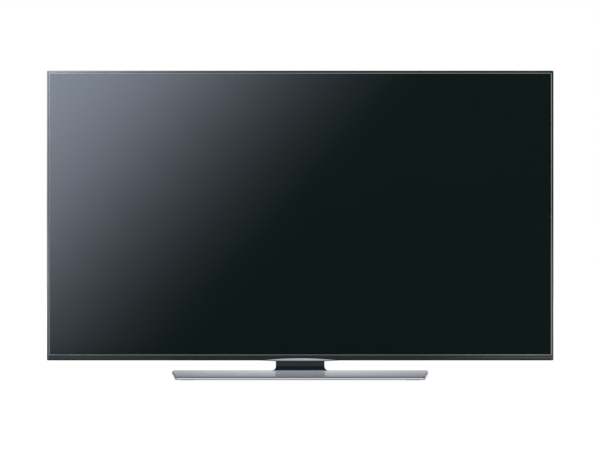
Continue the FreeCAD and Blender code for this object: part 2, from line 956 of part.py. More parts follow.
def base_wire(inset, rear_inset, z):
    """The outline of the base at one height."""
    front = front_corner_radius - inset
    rear = max(rear_corner_radius - inset, 0.5)
    return rounded_wire(base_corners(inset, rear_inset), [front, front, rear, rear],
                        lambda x, y: Vector(x, y, z))


def base_slab(inset, rear_inset, z0, z1):
    """A plate with the base's plan."""
    return Part.Face(base_wire(inset, rear_inset, z0)).extrude(Vector(0, 0, z1 - z0))


def base_taper(inset0, z0, inset1, z1):
    """A plate with a bevelled edge."""
    return Part.makeLoft([base_wire(inset0, 0, z0), base_wire(inset1, 0, z1)], True, True)


def base_screw_places():
    """Screws that hold the bracket's foot to the base, from below."""
    near = front_y + neck_back + base_screw_near
    far = heel_y - base_screw_far
    return [(side * base_screw_spread, y) for side in (-1, 1) for y in (near, far)]


def heel_slab(inset, y_start, y_end, z0, z1):
    """The tongue behind the neck, with rounded rear corners."""
    half = neck_width / 2 - inset
    radius = heel_corner_radius - inset
    points = [(-half, y_start), (half, y_start), (half, y_end), (-half, y_end)]
    wire = rounded_wire(points, [0, 0, radius, radius], lambda x, y: Vector(x, y, z0))
    return Part.Face(wire).extrude(Vector(0, 0, z1 - z0))


def base():
    under = foot_height + rim_under_bevel
    shoulder = rim_top - rim_bevel_height
    rim = fuse([
        base_taper(rim_under_bevel, foot_height, 0, under),
        base_slab(0, 0, under, shoulder),
        base_taper(0, shoulder, rim_bevel_depth, rim_top),
    ])
    save("base_rim", [rim.cut(base_slab(rim_width, -1, foot_height - 1, rim_top + 1))])

    plate_inset = rim_width + snug_gap
    plate = base_slab(plate_inset, 0, foot_height, core_top)
    heel = heel_slab(0, base_y1 - heel_corner_radius, heel_y, foot_height, core_top)
    holes = []
    for x, y in base_screw_places():
        depth = y - front_y
        holes.append(post(x, depth, foot_height - 1, foot_height + base_screw_head_height + snug_gap,
                          base_screw_head_radius + snug_gap))
        holes.append(post(x, depth, foot_height, core_top + 1, base_screw_shank_radius + snug_gap))
    save("base_core_plate", [cut(fuse([plate, heel]), holes)])

    filler = base_slab(plate_inset, 0, core_top, rim_top)
    carrier = base_slab(carrier_inset, 0, rim_top, carrier_top)
    save("base_carrier", [fuse([filler, carrier])])
    save("base_top_skin", [base_slab(skin_inset, 0, carrier_top, base_top)])

    inset = rim_width + foot_edge_gap
    front_x = base_front_width / 2 - inset - foot_length / 2
    rear_x = base_rear_width / 2 - inset - foot_length / 2
    heel_x = neck_width / 2 - heel_corner_radius / 2 - foot_length / 2
    places = []
    for side in (-1, 1):
        places.append((side * front_x, base_y0 + inset + foot_width / 2))
        places.append((side * rear_x, base_y1 - foot_edge_gap - foot_width / 2))
        places.append((side * heel_x, heel_y - foot_edge_gap - foot_width / 2))
    feet = []
    for x, y in places:
        half_x = foot_length / 2
        half_y = foot_width / 2
        points = [(x - half_x, y - half_y), (x + half_x, y - half_y),
                  (x + half_x, y + half_y), (x - half_x, y + half_y)]
        wire = rounded_wire(points, [foot_width * 0.45] * 4, lambda px, py: Vector(px, py, 0))
        feet.append(Part.Face(wire).extrude(Vector(0, 0, foot_height)))
    save("rubber_feet", feet)


def body_envelope(grow):
    """The space that the display itself takes, a little larger, for what must stay clear of it."""
    frame = slab(body.inset(-grow), -1, chassis_back)
    return frame.fuse(cover_solid(chassis_back - 0.5, body_depth + 2, -grow))


def neck_flare(side, core):
    """The small curved foot on one side of the neck."""
    low = base_top
    root = side * (neck_width / 2 - neck_wall)
    edge = side * neck_width / 2
    tip = side * (neck_width / 2 + neck_flare_radius)
    high = low + neck_flare_edge + neck_flare_radius
    slant = neck_flare_radius * math.sqrt(0.5)
    y = front_y + neck_front
    above = Vector(root, y, high)
    top = Vector(edge, y, high)
    middle = Vector(tip - side * slant, y, high - slant)
    end = Vector(tip, y, low + neck_flare_edge)
    foot = Vector(tip, y, low)
    corner = Vector(root, y, low)
    wire = Part.Wire([
        Part.LineSegment(above, top).toShape(),
        Part.Arc(top, middle, end).toShape(),
        Part.LineSegment(end, foot).toShape(),
        Part.LineSegment(foot, corner).toShape(),
        Part.LineSegment(corner, above).toShape(),
    ])
    return Part.Face(wire).extrude(Vector(0, base_under_neck, 0)).cut(core)


def neck():
    """The neck's front and rear covers, parted down the middle."""
    half = neck_width / 2
    high = body_bottom + bottom_slope + neck_corner_radius

    def column(inset):
        points = [(-half + inset, neck_front + inset), (half - inset, neck_front + inset),
                  (half - inset, neck_back - inset), (-half + inset, neck_back - inset)]
        wire = rounded_wire(points, [neck_corner_radius - inset] * 4,
                            lambda x, depth: Vector(x, front_y + depth, core_top))
        return Part.Face(wire).extrude(Vector(0, 0, high - core_top))

    core = column(neck_wall)
    tube = column(0).cut(core).cut(body_envelope(fit_gap))
    front = tube.common(box(-half - 1, half + 1, neck_front - 1, neck_middle, 0, high + 1))
    front = front.cut(base_slab(0, 0, 0, base_top))
    save("neck_front_cover", [fuse([front] + [neck_flare(side, core) for side in (-1, 1)])])

    rear = tube.common(box(-half - 1, half + 1, neck_middle, neck_back + 1, 0, high + 1))
    foot_way = box(-bracket_width / 2 - fit_gap, bracket_width / 2 + fit_gap,
                   neck_back - neck_wall - 1, neck_back + 1, core_top, core_top + bracket_plate + fit_gap)
    save("neck_rear_cover", [rear.cut(foot_way)])


def neck_bracket():
    """Steel bracket that carries the display on the base."""
    half = bracket_width / 2
    back = bracket_front + bracket_plate
    top = body_bottom + bracket_rise
    foot_back = heel_y - front_y - heel_corner_radius
    parts = [
        box(-half, half, bracket_front, back, core_top, top),
        box(-half, half, base_back + fit_gap, foot_back, core_top, core_top + bracket_plate),
    ]
    for side in (-1, 1):
        xs = sorted([side * half, side * (half - bracket_flange)])
        parts.append(box(xs[0], xs[1], flange_front, bracket_front, core_top, top))
    tools = [rod(x, z, bracket_front - 1, back + 1, stand_screw_shank_radius + snug_gap)
             for x, z in stand_screw_places()]
    tools += [post(x, y - front_y, core_top - 1, core_top + bracket_plate + 1,
                   base_screw_shank_radius + snug_gap) for x, y in base_screw_places()]
    tools.append(box(-half - 1, half + 1, 0, base_back + fit_gap, 0, base_top + fit_gap))
    save("neck_bracket", [cut(fuse(parts), tools)])


def stand_seat():
    """The plate and four posts on the chassis that the bracket is screwed to."""
    seat_back = chassis_back + seat_thickness
    parts = [box(-seat_width / 2, seat_width / 2, chassis_back, seat_back, body_bottom + seat_low,
                 body_bottom + seat_high)]
    tools = []
    for x, z in stand_screw_places():
        parts.append(rod(x, z, seat_back, bracket_front, stand_boss_radius))
        tools.append(rod(x, z, bracket_front - stand_screw_grip - 1, bracket_front + 1,
                         stand_screw_shank_radius + snug_gap))
    save("stand_seat", [cut(fuse(parts), tools)])


def stand_screws():
    """Screws through the bracket into the seat, and from below into the bracket's foot."""
    screws = []
    front = bracket_front + bracket_plate
    face = front + stand_screw_head_height
    for x, z in stand_screw_places():
        head = rod(x, z, front, face, stand_screw_head_radius)
        shank = rod(x, z, bracket_front - stand_screw_grip, front, stand_screw_shank_radius)
        recess = cross_recess(Vector(x, front_y + face, z), True, stand_cross_width,
                              stand_cross_thickness, stand_cross_depth)
        screws.append(fuse([head, shank]).cut(recess))
    for x, y in base_screw_places():
        depth = y - front_y
        under = foot_height + base_screw_head_height
        head = post(x, depth, foot_height, under, base_screw_head_radius)
        shank = post(x, depth, under, core_top + bracket_plate, base_screw_shank_radius)
        recess = cross_recess(Vector(x, y, foot_height), False, base_cross_width,
                              base_cross_thickness, base_cross_depth)
        screws.append(fuse([head, shank]).cut(recess))
    save("stand_screws", screws)


def heel_cover():
    """Cover over the bracket's foot, behind the neck."""
    y0 = front_y + neck_back
    y1 = heel_y - heel_cover_inset
    top = core_top + heel_cover_height
    outer = heel_slab(heel_cover_inset, y0, y1, core_top, top)
    inner = heel_slab(heel_cover_inset + neck_wall, y0, y1 - neck_wall, core_top, top - neck_wall)
    save("heel_cover", [outer.cut(inner)])


# Sensor lens and its receiver


def sensor():
    head = lens_outline(0, False, -lens_proud, glass_back)
    tail = lens_outline(0, True, -lens_proud, lens_tail)
    height = lens_rise + lens_sag
    middle_z = body_bottom + (lens_rise - lens_sag) / 2
    crown = (height * height / 4 + lens_proud * lens_proud) / (2 * lens_proud)
    barrel = Part.makeCylinder(crown, lens_width, Vector(-lens_width / 2, front_y - lens_proud + crown,
                                                         middle_z), Vector(1, 0, 0))
    save("sensor_lens", [head.fuse(tail).removeSplitter().common(barrel)])

    back = lens_tail + pod_length
    half = receiver_width / 2
    pod = lens_outline(0, True, lens_tail, back)
    deep = lens_sag - pod_wall
    room = box(-half - fit_gap, half + fit_gap, lens_tail, back - pod_wall, body_bottom - deep,
               body_bottom + 1)
    save("sensor_pod", [pod.cut(room)])
    start = lens_tail + fit_gap
    under = body_bottom - receiver_thickness
    board = box(-half, half, start, back - pod_wall - fit_gap, under, body_bottom)
    floor = body_bottom - deep + fit_gap
    eye = box(-eye_width / 2, eye_width / 2, start, start + eye_depth, floor, under)
    lamp = box(lamp_start, lamp_start + lamp_width, start, start + lamp_depth, floor, under)
    save("receiver_board", [board, eye, lamp])


# Boards

board_front = rail_back + board_rail_gap
board_back = board_front + board_thickness
timing_front = chassis_back + timing_board_lift
timing_back = timing_front + board_thickness
tall_room = cover_inside - board_back - tall_part_gap
pivot = board_back + stick_floor + stick_pivot_lift
main_rect = Rect(lower_bay.left, lower_bay.left + main_board_width,
                 lower_bay.top + main_board_gap, side_bay.top + main_board_over)
power_left = -vesa_reach - power_board_reach
power_bottom = power_bay.top + power_board_gap
power_rect = Rect(power_left, power_left + power_board_width, power_bottom,
                  power_bottom + power_board_height)
timing_rect = Rect(-timing_board_width / 2, timing_board_width / 2,
                   screw_top - boss_radius - fit_gap - timing_board_height,
                   screw_top - boss_radius - fit_gap)
stick_rect = Rect(stick_x - stick_board_width / 2, stick_x + stick_board_width / 2,
                  stick_z - stick_board_width / 2, stick_z + stick_board_width / 2)
board_kinds = [
    ("main_board", main_rect, board_front),
    ("power_board", power_rect, board_front),
    ("timing_board", timing_rect, timing_front),
    ("stick_board", stick_rect, board_front),
]


def board_holes(rect):
    """A hole near each corner of a board."""
    return rect.inset(board_screw_inset).corners()


def boards():
    standoffs = []
    screws = []
    grown = board_screw_radius + snug_gap
    for name, rect, front in board_kinds:
        back = front + board_thickness
        holes = [rod(x, z, front - 1, back + 1, grown) for x, z in board_holes(rect)]
        save(name, [cut(slab(rect, front, back), holes)])
        for x, z in board_holes(rect):
            pillar = rod(x, z, chassis_back, front, standoff_radius)
            bore = rod(x, z, chassis_back + standoff_floor, front + 1, grown)
            standoffs.append(pillar.cut(bore))
            head = rod(x, z, back, back + board_screw_head_height, board_screw_head_radius)
            shank = rod(x, z, chassis_back + board_screw_tip, back, board_screw_radius)
            screws.append(fuse([head, shank]))
    save("board_standoffs", standoffs)
    save("board_screws", screws)

    shield = timing_rect.inset(shield_side, shield_end)
    save("timing_board_shield", [slab(shield, timing_back, timing_back + shield_thickness)])

    drivers = []
    high = body_top - driver_board_drop
    for side in (-1, 1):
        xs = sorted([side * driver_board_start, side * (driver_board_start + driver_board_length)])
        drivers.append(box(xs[0], xs[1], chassis_back, chassis_back + driver_board_thickness,
                           high - driver_board_height, high))
    save("source_boards", drivers)


def on_board(rect, shares):
    """A block on the back of a board, its place and size given as shares."""
    left, bottom, width, height, thick = shares
    wide = rect.right - rect.left
    tall = rect.top - rect.bottom
    x = rect.left + left * wide
    z = rect.bottom + bottom * tall
    return box(x, x + width * wide, board_back, board_back + thick * tall_room, z, z + height * tall)


def fins():
    """A heat sink's plate and its fins."""
    left, bottom, width, height, thick = heat_sink
    pitch = height / fin_count
    blocks = [on_board(main_rect, (left, bottom, width, height, heat_sink_plate))]
    for i in range(fin_count):
        low = bottom + (i + (1 - fin_share) / 2) * pitch
        blocks.append(on_board(main_rect, (left, low, width, pitch * fin_share, thick)))
    return fuse(blocks)


def board_parts():
    """Chips, coils, capacitors and a heat sink."""
    parts = [on_board(main_rect, shares) for shares in processor_and_tuner_parts]
    left, bottom, width, height, thick = memory_chip
    for i in range(memory_count):
        shares = (left, bottom + i * memory_pitch, width, height, thick)
        parts.append(on_board(main_rect, shares))
    parts.append(fins())
    parts += [on_board(power_rect, shares) for shares in power_parts]

    radius = tall_room * can_radius_share
    start = power_rect.left + can_left * (power_rect.right - power_rect.left)
    tall = power_rect.top - power_rect.bottom
    low = power_rect.bottom + can_bottom * tall
    for i in range(can_count):
        x = start + i * can_pitch * radius
        parts.append(post(x, board_back + radius, low, low + can_height * tall, radius))
    save("board_parts", parts)


def flat_cable(xs, z_low, z_high, low_face, high_face):
    """A flat cable that lies on the chassis and climbs onto a board at each end."""
    thin = ribbon_thickness
    lap = driver_ribbon_lap
    pieces = [
        box(xs[0], xs[1], chassis_back, chassis_back + thin, z_low, z_high),
        box(xs[0], xs[1], chassis_back, low_face + thin, z_low, z_low + thin),
        box(xs[0], xs[1], low_face, low_face + thin, z_low - lap, z_low + thin),
        box(xs[0], xs[1], chassis_back, high_face + thin, z_high - thin, z_high),
        box(xs[0], xs[1], high_face, high_face + thin, z_high - thin, z_high + lap),
    ]
    return fuse(pieces)


def ribbons():
    """Flat cables between the boards."""
    thin = ribbon_thickness
    lap = ribbon_lap
    left = main_rect.left + ribbon_start
    right = left + ribbon_width
    rise = main_rect.top + ribbon_gap
    run_high = timing_rect.top - ribbon_drop
    run_low = max(run_high - ribbon_width, middle_height + vesa_pitch / 2 + rail_overhang + ribbon_gap)
    x = timing_rect.right + ribbon_gap
    signal = fuse([
        box(left, right, chassis_back, chassis_back + thin, rise, run_high),
        box(x, right, chassis_back, chassis_back + thin, run_low, run_high),
        box(left, right, chassis_back, board_back + thin, rise, rise + thin),
        box(left, right, board_back, board_back + thin, rise - lap, rise + thin),
        box(x, x + thin, chassis_back, timing_back + thin, run_low, run_high),
        box(x - lap, x + thin, timing_back, timing_back + thin, run_low, run_high),
    ])
    cables = [signal]
    low = timing_rect.top + ribbon_gap
    high = body_top - driver_board_drop - driver_board_height - ribbon_gap
    for side in (-1, 1):
        xs = sorted([side * driver_board_start, side * (driver_board_start + driver_ribbon_width)])
        cables.append(flat_cable(xs, low, high, timing_back, chassis_back + driver_board_thickness))
    save("ribbon_cables", cables)


# Sockets


def plug_hole(x0, x1, depth0, depth1, z0, z1):
    """A socket's outline with the snug gap that its panel leaves round it."""
    gap = snug_gap
    return box(x0 - gap, x1 + gap, depth0 - gap, depth1 + gap, z0 - gap, z1 + gap)


def side_sockets():
    """Plug sockets that face the side, each with the tongue inside it; returns the panel's holes."""
    mouth_x = side_bay.left + socket_proud
    wall = socket_wall
    kinds = [
        ("hdmi_sockets", picture_socket_count, picture_socket_width, picture_socket_depth,
         picture_socket_first, picture_socket_pitch),
        ("usb_sockets", data_socket_count, data_socket_width, data_socket_depth,
         data_socket_first, data_socket_pitch),
    ]
    holes = []
    for name, count, wide, deep, first, pitch in kinds:
        shells = []
        for i in range(count):
            low = side_bay.top - first - pitch * i - wide / 2
            high = low + wide
            back = board_back + deep
            shell = box(mouth_x - socket_length, mouth_x, board_back, back, low, high)
            mouth = box(mouth_x - socket_hollow, mouth_x + 1, board_back + wall, back - wall,
                        low + wall, high - wall)
            middle = (board_back + back) / 2
            tongue = box(mouth_x - socket_hollow - wall, mouth_x - tongue_mouth_gap,
                         middle - tongue_thickness / 2, middle + tongue_thickness / 2,
                         low + tongue_side_gap, high - tongue_side_gap)
            shells.append(fuse([shell.cut(mouth), tongue]))
            holes.append(plug_hole(side_bay.left - panel_thickness - 1, side_bay.left + 1,
                                   board_back, back, low, high))
        save(name, shells)
    return holes


def lower_sockets():
    """Sockets that face down; returns the panel's holes."""
    top = lower_bay.top
    low = top - socket_proud
    past = top + panel_thickness + 1
    holes = []

    def housing(x, wide, deep, tall, room):
        """One box-shaped socket with its hollow."""
        half = wide / 2
        holes.append(plug_hole(x - half, x + half, board_back, board_back + deep, top - 1, past))
        shell = box(x - half, x + half, board_back, board_back + deep, low, low + tall)
        return shell.cut(room)

    def mouth(x, wide, lift, deep, tall):
        """A box-shaped hollow that opens downwards."""
        front = board_back + lift
        return box(x - wide / 2, x + wide / 2, front, front + deep, low - 1, low + tall)

    x = lower_bay.left + network_place
    room = mouth(x, network_mouth_width, network_mouth_lift, network_mouth_depth, network_mouth_length)
    save("network_socket", [housing(x, network_width, network_depth, network_length, room)])

    x = lower_bay.left + optical_place
    room = mouth(x, optical_mouth_width, optical_mouth_lift, optical_mouth_depth, optical_mouth_length)
    save("optical_socket", [housing(x, optical_width, optical_depth, optical_length, room)])

    x = lower_bay.left + jack_place
    room = post(x, board_back + jack_width / 2, low - 1, low + jack_bore, jack_radius)
    save("audio_jack", [housing(x, jack_width, jack_width, jack_length, room)])

    x = lower_bay.left + antenna_place
    middle = board_back + antenna_lift
    tuner = box(x - tuner_width / 2, x + tuner_width / 2, board_back, board_back + tuner_depth,
                top + panel_thickness, top + tuner_height)
    end = top - antenna_length
    stem = post(x, middle, end, top, antenna_radius)
    collar = post(x, middle, top, top + panel_thickness, antenna_collar_radius)
    pin_hole = post(x, middle, end - 1, end + antenna_hole_depth, antenna_hole_radius)
    save("antenna_socket", [fuse([tuner, collar, stem]).cut(pin_hole)])
    holes.append(post(x, middle, top - 1, past, antenna_collar_radius + snug_gap))
    return holes


def sockets():
    side_panel = box(side_bay.left - panel_thickness, side_bay.left, bay_floor, cover_inside,
                     side_bay.bottom, side_bay.top)
    lower_panel = box(lower_bay.left, lower_bay.right, bay_floor, cover_inside, lower_bay.top,
                      lower_bay.top + panel_thickness)
    save("socket_panels", [cut(side_panel, side_sockets()), cut(lower_panel, lower_sockets())])

    start = power_bay.right - inlet_proud
    end = start + inlet_length
    half_y = inlet_depth / 2
    half_z = inlet_height / 2
    wall = inlet_wall
    shell = box(start, end, bay_middle - half_y, bay_middle + half_y, inlet_z - half_z,
                inlet_z + half_z)
    room = box(start - 1, end - inlet_floor, bay_middle - half_y + wall, bay_middle + half_y - wall,
               inlet_z - half_z + wall, inlet_z + half_z - wall)
    blades = []
    for side in (-1, 1):
        z = inlet_z + side * blade_spread
        blades.append(box(start + blade_mouth_gap, end - inlet_floor + blade_root,
                          bay_middle - blade_depth / 2, bay_middle + blade_depth / 2,
                          z - blade_thickness / 2, z + blade_thickness / 2))
    save("power_inlet", [fuse([shell.cut(room)] + blades)])


# Loudspeakers


def racetrack(x, depth, length, width, z0, z1):
    """A slot-shaped prism that stands upright."""
    half_width = width / 2
    straight = length / 2 - half_width
    y = front_y + depth
    left_top = Vector(x - straight, y + half_width, z0)
    right_top = Vector(x + straight, y + half_width, z0)
    right_low = Vector(x + straight, y - half_width, z0)
    left_low = Vector(x - straight, y - half_width, z0)
    wire = Part.Wire([
        Part.LineSegment(left_top, right_top).toShape(),
        Part.Arc(right_top, Vector(x + length / 2, y, z0), right_low).toShape(),
        Part.LineSegment(right_low, left_low).toShape(),
        Part.Arc(left_low, Vector(x - length / 2, y, z0), left_top).toShape(),
    ])
    return Part.Face(wire).extrude(Vector(0, 0, z1 - z0))


def small_speaker(side):
    """One down-firing speaker: its box, its magnet and its cone."""
    wall = speaker_wall
    x = side * speaker_x
    half = speaker_box_width / 2
    top = speaker_bottom + speaker_box_height
    room_front = chassis_back + wall
    room_back = speaker_back - wall
    outer = box(x - half, x + half, chassis_back, speaker_back, speaker_bottom, top)
    inner = box(x - half + wall, x + half - wall, room_front, room_back, speaker_bottom + wall,
                top - wall)
    mouth = racetrack(x, speaker_depth, speaker_dish_length + 2 * edge_gap,
                      speaker_dish_width + 2 * edge_gap, speaker_bottom - 1, speaker_bottom + wall + 1)
    coil_inside = speaker_pole_radius + coil_gap
    coil_outside = coil_inside + coil_wall
    gap_outside = coil_outside + coil_gap
    plate_low = speaker_bottom + speaker_plate_rise
    magnet_low = plate_low + speaker_plate_thickness
    yoke_low = magnet_low + speaker_magnet_height

    def layer(width, low, high):
        """A block of the magnet that fills the box from front to back."""
        return box(x - width / 2, x + width / 2, room_front, room_back, low, high)

    plate = layer(speaker_plate_width, plate_low, magnet_low)
    plate = plate.cut(post(x, speaker_depth, plate_low - 1, magnet_low + 1, gap_outside))
    magnet = layer(speaker_magnet_width, magnet_low, yoke_low)
    magnet = magnet.cut(post(x, speaker_depth, magnet_low - 1, yoke_low + 1,
                             gap_outside + speaker_magnet_gap))
    yoke = layer(speaker_yoke_width, yoke_low, yoke_low + speaker_plate_thickness)
    pole = post(x, speaker_depth, plate_low, yoke_low, speaker_pole_radius)
    dish_low = speaker_bottom + speaker_dish_lift
    dish_high = dish_low + speaker_dish_thickness
    dish = racetrack(x, speaker_depth, speaker_dish_length, speaker_dish_width, dish_low, dish_high)
    coil_high = magnet_low + speaker_coil_reach
    former = post(x, speaker_depth, dish_high, coil_high, coil_outside)
    bore = post(x, speaker_depth, dish_high, coil_high + 1, coil_inside)
    return outer.cut(inner).cut(mouth), fuse([plate, magnet, yoke, pole]), fuse([dish, former.cut(bore)])


def woofer(side):
    """One rear-firing woofer: its box, its magnet and its cone."""
    wall = speaker_wall
    x = side * woofer_spread
    half = woofer_box_half
    rim = woofer_back - wall
    outer = box(x - half, x + half, chassis_back, woofer_back, woofer_z - half, woofer_z + half)
    inner = box(x - half + wall, x + half - wall, chassis_back + wall, rim, woofer_z - half + wall,
                woofer_z + half - wall)
    mouth = rod(x, woofer_z, rim - 1, woofer_back + 1, woofer_radius + edge_gap)
    coil_inside = woofer_pole_radius + coil_gap
    coil_outside = coil_inside + coil_wall
    gap_outside = coil_outside + coil_gap
    start = chassis_back + wall
    magnet_front = start + woofer_plate_thickness
    plate_front = magnet_front + woofer_magnet_thickness
    plate_back = plate_front + woofer_plate_thickness
    back_plate = rod(x, woofer_z, start, magnet_front, woofer_plate_radius)
    magnet = rod(x, woofer_z, magnet_front, plate_front, woofer_magnet_radius)
    magnet = magnet.cut(rod(x, woofer_z, magnet_front - 1, plate_front + 1,
                            gap_outside + woofer_magnet_gap))
    plate = rod(x, woofer_z, plate_front, plate_back, woofer_plate_radius)
    plate = plate.cut(rod(x, woofer_z, plate_front - 1, plate_back + 1, gap_outside))
    pole = rod(x, woofer_z, magnet_front, plate_back, woofer_pole_radius)
    dish_front = rim - woofer_dish_depth
    axis = Vector(0, 1, 0)
    dish = Part.makeCone(coil_outside, woofer_radius, woofer_dish_depth,
                         Vector(x, front_y + dish_front, woofer_z), axis)
    hollow_start = Vector(x, front_y + dish_front + woofer_dish_thickness, woofer_z)
    hollow = Part.makeCone(coil_outside, woofer_radius, woofer_dish_depth, hollow_start, axis)
    cap_front = dish_front + woofer_cap_lift
    cap = rod(x, woofer_z, cap_front, cap_front + woofer_dish_thickness, coil_outside + coil_wall)
    coil_front = start + woofer_coil_start
    former = rod(x, woofer_z, coil_front, dish_front, coil_outside)
    bore = rod(x, woofer_z, coil_front - 1, dish_front, coil_inside)
    cone = fuse([dish.cut(hollow), cap, former.cut(bore)])
    return outer.cut(inner).cut(mouth), fuse([back_plate, magnet, plate, pole]), cone


def speakers():
    boxes = []
    magnets = []
    for side, word in ((-1, "left"), (1, "right")):
        for kind, maker in (("speaker", small_speaker), ("woofer", woofer)):
            case, magnet, cone = maker(side)
            boxes.append(case)
            magnets.append(magnet)
            save(kind + "_cone_" + word, [cone])
    save("speaker_boxes", boxes)
    save("speaker_magnets", magnets)


# Control stick


def stick_rod(depth0, depth1, radius):
    """A cylinder on the stick's own axis."""
    return rod(stick_x, stick_z, depth0, depth1, radius)


def stick_pins(along, depth, start, length):
    """Two short pins that stick out of a ring or sleeve, one each way."""
    pins = []
    for side in (-1, 1):
        foot = Vector(stick_x, front_y + depth, stick_z) + along * (side * start)
        pins.append(Part.makeCylinder(stick_pin_radius, length, foot, along * side))
    return pins


def stick_bore(along, depth, reach):
    """The hole that a pair of pins turns in."""
    foot = Vector(stick_x, front_y + depth, stick_z) - along * reach
    return Part.makeCylinder(stick_pin_radius + pin_gap, 2 * reach, foot, along)


def control_stick():
    """A stick that tilts both ways in a gimbal and can be pressed."""
    across = Vector(1, 0, 0)
    upright = Vector(0, 0, 1)
    cavity = gimbal_radius + gimbal_gap
    case_half = cavity + stick_case_wall
    case_back = pivot + stick_case_over
    case = box(stick_x - case_half, stick_x + case_half, board_back, case_back,
               stick_z - case_half, stick_z + case_half)
    case = case.cut(stick_rod(board_back + stick_floor, case_back + 1, cavity))
    save("stick_housing", [case.cut(stick_bore(across, pivot, case_half - pin_bore_stop))])

    half = gimbal_thickness / 2
    gimbal = stick_rod(pivot - half, pivot + half, gimbal_radius)
    gimbal = gimbal.cut(stick_rod(pivot - half - 1, pivot + half + 1, gimbal_inside_radius))
    pins = stick_pins(across, pivot, gimbal_radius - pin_root, gimbal_pin_length + pin_root)
    gimbal = fuse([gimbal] + pins)
    save("stick_gimbal", [gimbal.cut(stick_bore(upright, pivot, gimbal_radius + 1))])

    sleeve_radius = stick_stem_radius + sleeve_wall
    sleeve = stick_rod(pivot - sleeve_below, pivot + sleeve_above, sleeve_radius)
    pins = stick_pins(upright, pivot, sleeve_radius - pin_root, sleeve_pin_length + pin_root)
    sleeve = fuse([sleeve] + pins)
    bore = stick_rod(pivot - sleeve_below - 1, pivot + sleeve_above + 1, stick_stem_radius + pin_gap)
    save("stick_sleeve", [sleeve.cut(bore)])

    crown = body_depth + knob_proud
    knob_front = crown - knob_height
    cap = stick_rod(knob_front, crown, knob_radius)
    stem = stick_rod(pivot - stem_below, knob_front, stick_stem_radius)
    centre = Vector(stick_x, front_y + crown + knob_dish_radius - knob_dish_depth, stick_z)
    dish = Part.makeSphere(knob_dish_radius, centre)
    save("control_knob", [fuse([cap, stem]).cut(dish)])


picture_frame()
panel_layers()
edge_light()
rear_cover()
grilles()
wall_mount()
base()
neck()
neck_bracket()
stand_seat()
stand_screws()
heel_cover()
sensor()
boards()
board_parts()
ribbons()
sockets()
speakers()
control_stick()
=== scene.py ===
"""Look of a flat screen display on its low metal table stand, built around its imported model.

Metres. +X is to the viewer's right, +Y away from the viewer and +Z up; the screen faces -Y.
"""

import json
import logging
import math
from collections.abc import Mapping, Sequence
from dataclasses import dataclass, field
from enum import Enum
from functools import cache, cached_property

import bmesh
import bpy
from mathutils import Matrix, Vector

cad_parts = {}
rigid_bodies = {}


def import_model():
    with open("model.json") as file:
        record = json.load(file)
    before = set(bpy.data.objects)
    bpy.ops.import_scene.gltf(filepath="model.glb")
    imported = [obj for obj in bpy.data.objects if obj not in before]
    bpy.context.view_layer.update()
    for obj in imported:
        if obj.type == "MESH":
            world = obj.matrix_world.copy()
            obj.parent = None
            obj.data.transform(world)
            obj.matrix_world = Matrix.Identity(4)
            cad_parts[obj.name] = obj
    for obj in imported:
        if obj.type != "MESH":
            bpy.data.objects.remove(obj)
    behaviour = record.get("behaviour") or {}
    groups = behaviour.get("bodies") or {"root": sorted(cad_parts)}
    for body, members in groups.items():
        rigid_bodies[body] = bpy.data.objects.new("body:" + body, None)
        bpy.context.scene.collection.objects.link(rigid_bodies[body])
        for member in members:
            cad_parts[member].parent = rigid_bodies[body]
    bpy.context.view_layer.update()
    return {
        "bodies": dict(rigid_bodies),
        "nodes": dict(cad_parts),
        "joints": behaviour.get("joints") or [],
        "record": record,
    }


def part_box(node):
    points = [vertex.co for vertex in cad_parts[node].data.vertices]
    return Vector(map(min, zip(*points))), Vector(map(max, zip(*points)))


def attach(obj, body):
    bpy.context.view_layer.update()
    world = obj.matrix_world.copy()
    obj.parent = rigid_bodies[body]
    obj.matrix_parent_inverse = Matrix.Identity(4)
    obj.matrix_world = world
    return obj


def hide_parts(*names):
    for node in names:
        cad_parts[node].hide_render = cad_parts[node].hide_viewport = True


log = logging.getLogger("display")

Colour = tuple[float, float, float]
Point = tuple[float, float, float]
Pair = tuple[float, float]
Outline = Sequence[Pair]
Shares = tuple[float, ...]
Socket = bpy.types.NodeSocket
Object = bpy.types.Object
Corners = list[bmesh.types.BMVert]

MM = 0.001
SHARP = math.radians(32.0)
BODY = "display"


# Shader values


class Value:
    """A number that changes over a surface, and that Python's own operators work on."""

    def __init__(self, recipe: "Recipe", socket: Socket) -> None:
        """Keeps the output that gives the value, and the recipe that its node is in."""
        self.recipe = recipe
        self.socket = socket

    def __add__(self, other: "Term") -> "Value":
        """The sum."""
        return self.recipe.maths("ADD", self, other)

    def __sub__(self, other: "Term") -> "Value":
        """The difference."""
        return self.recipe.maths("SUBTRACT", self, other)

    def __mul__(self, other: "Term") -> "Value":
        """The product."""
        return self.recipe.maths("MULTIPLY", self, other)

    def __truediv__(self, other: "Term") -> "Value":
        """The quotient."""
        return self.recipe.maths("DIVIDE", self, other)

    def __radd__(self, other: float) -> "Value":
        """The sum, with the number first."""
        return self.recipe.maths("ADD", other, self)

    def __rsub__(self, other: float) -> "Value":
        """The difference, with the number first."""
        return self.recipe.maths("SUBTRACT", other, self)

    def __rmul__(self, other: float) -> "Value":
        """The product, with the number first."""
        return self.recipe.maths("MULTIPLY", other, self)

    def __gt__(self, other: "Term") -> "Value":
        """One where the value is the greater, and nothing elsewhere."""
        return self.recipe.maths("GREATER_THAN", self, other)

    def __lt__(self, other: "Term") -> "Value":
        """One where the value is the smaller, and nothing elsewhere."""
        return self.recipe.maths("LESS_THAN", self, other)

    def __abs__(self) -> "Value":
        """The size without its sign."""
        return self.recipe.maths("ABSOLUTE", self)


Term = Value | float
Feed = Value | Socket | float | Sequence[float]


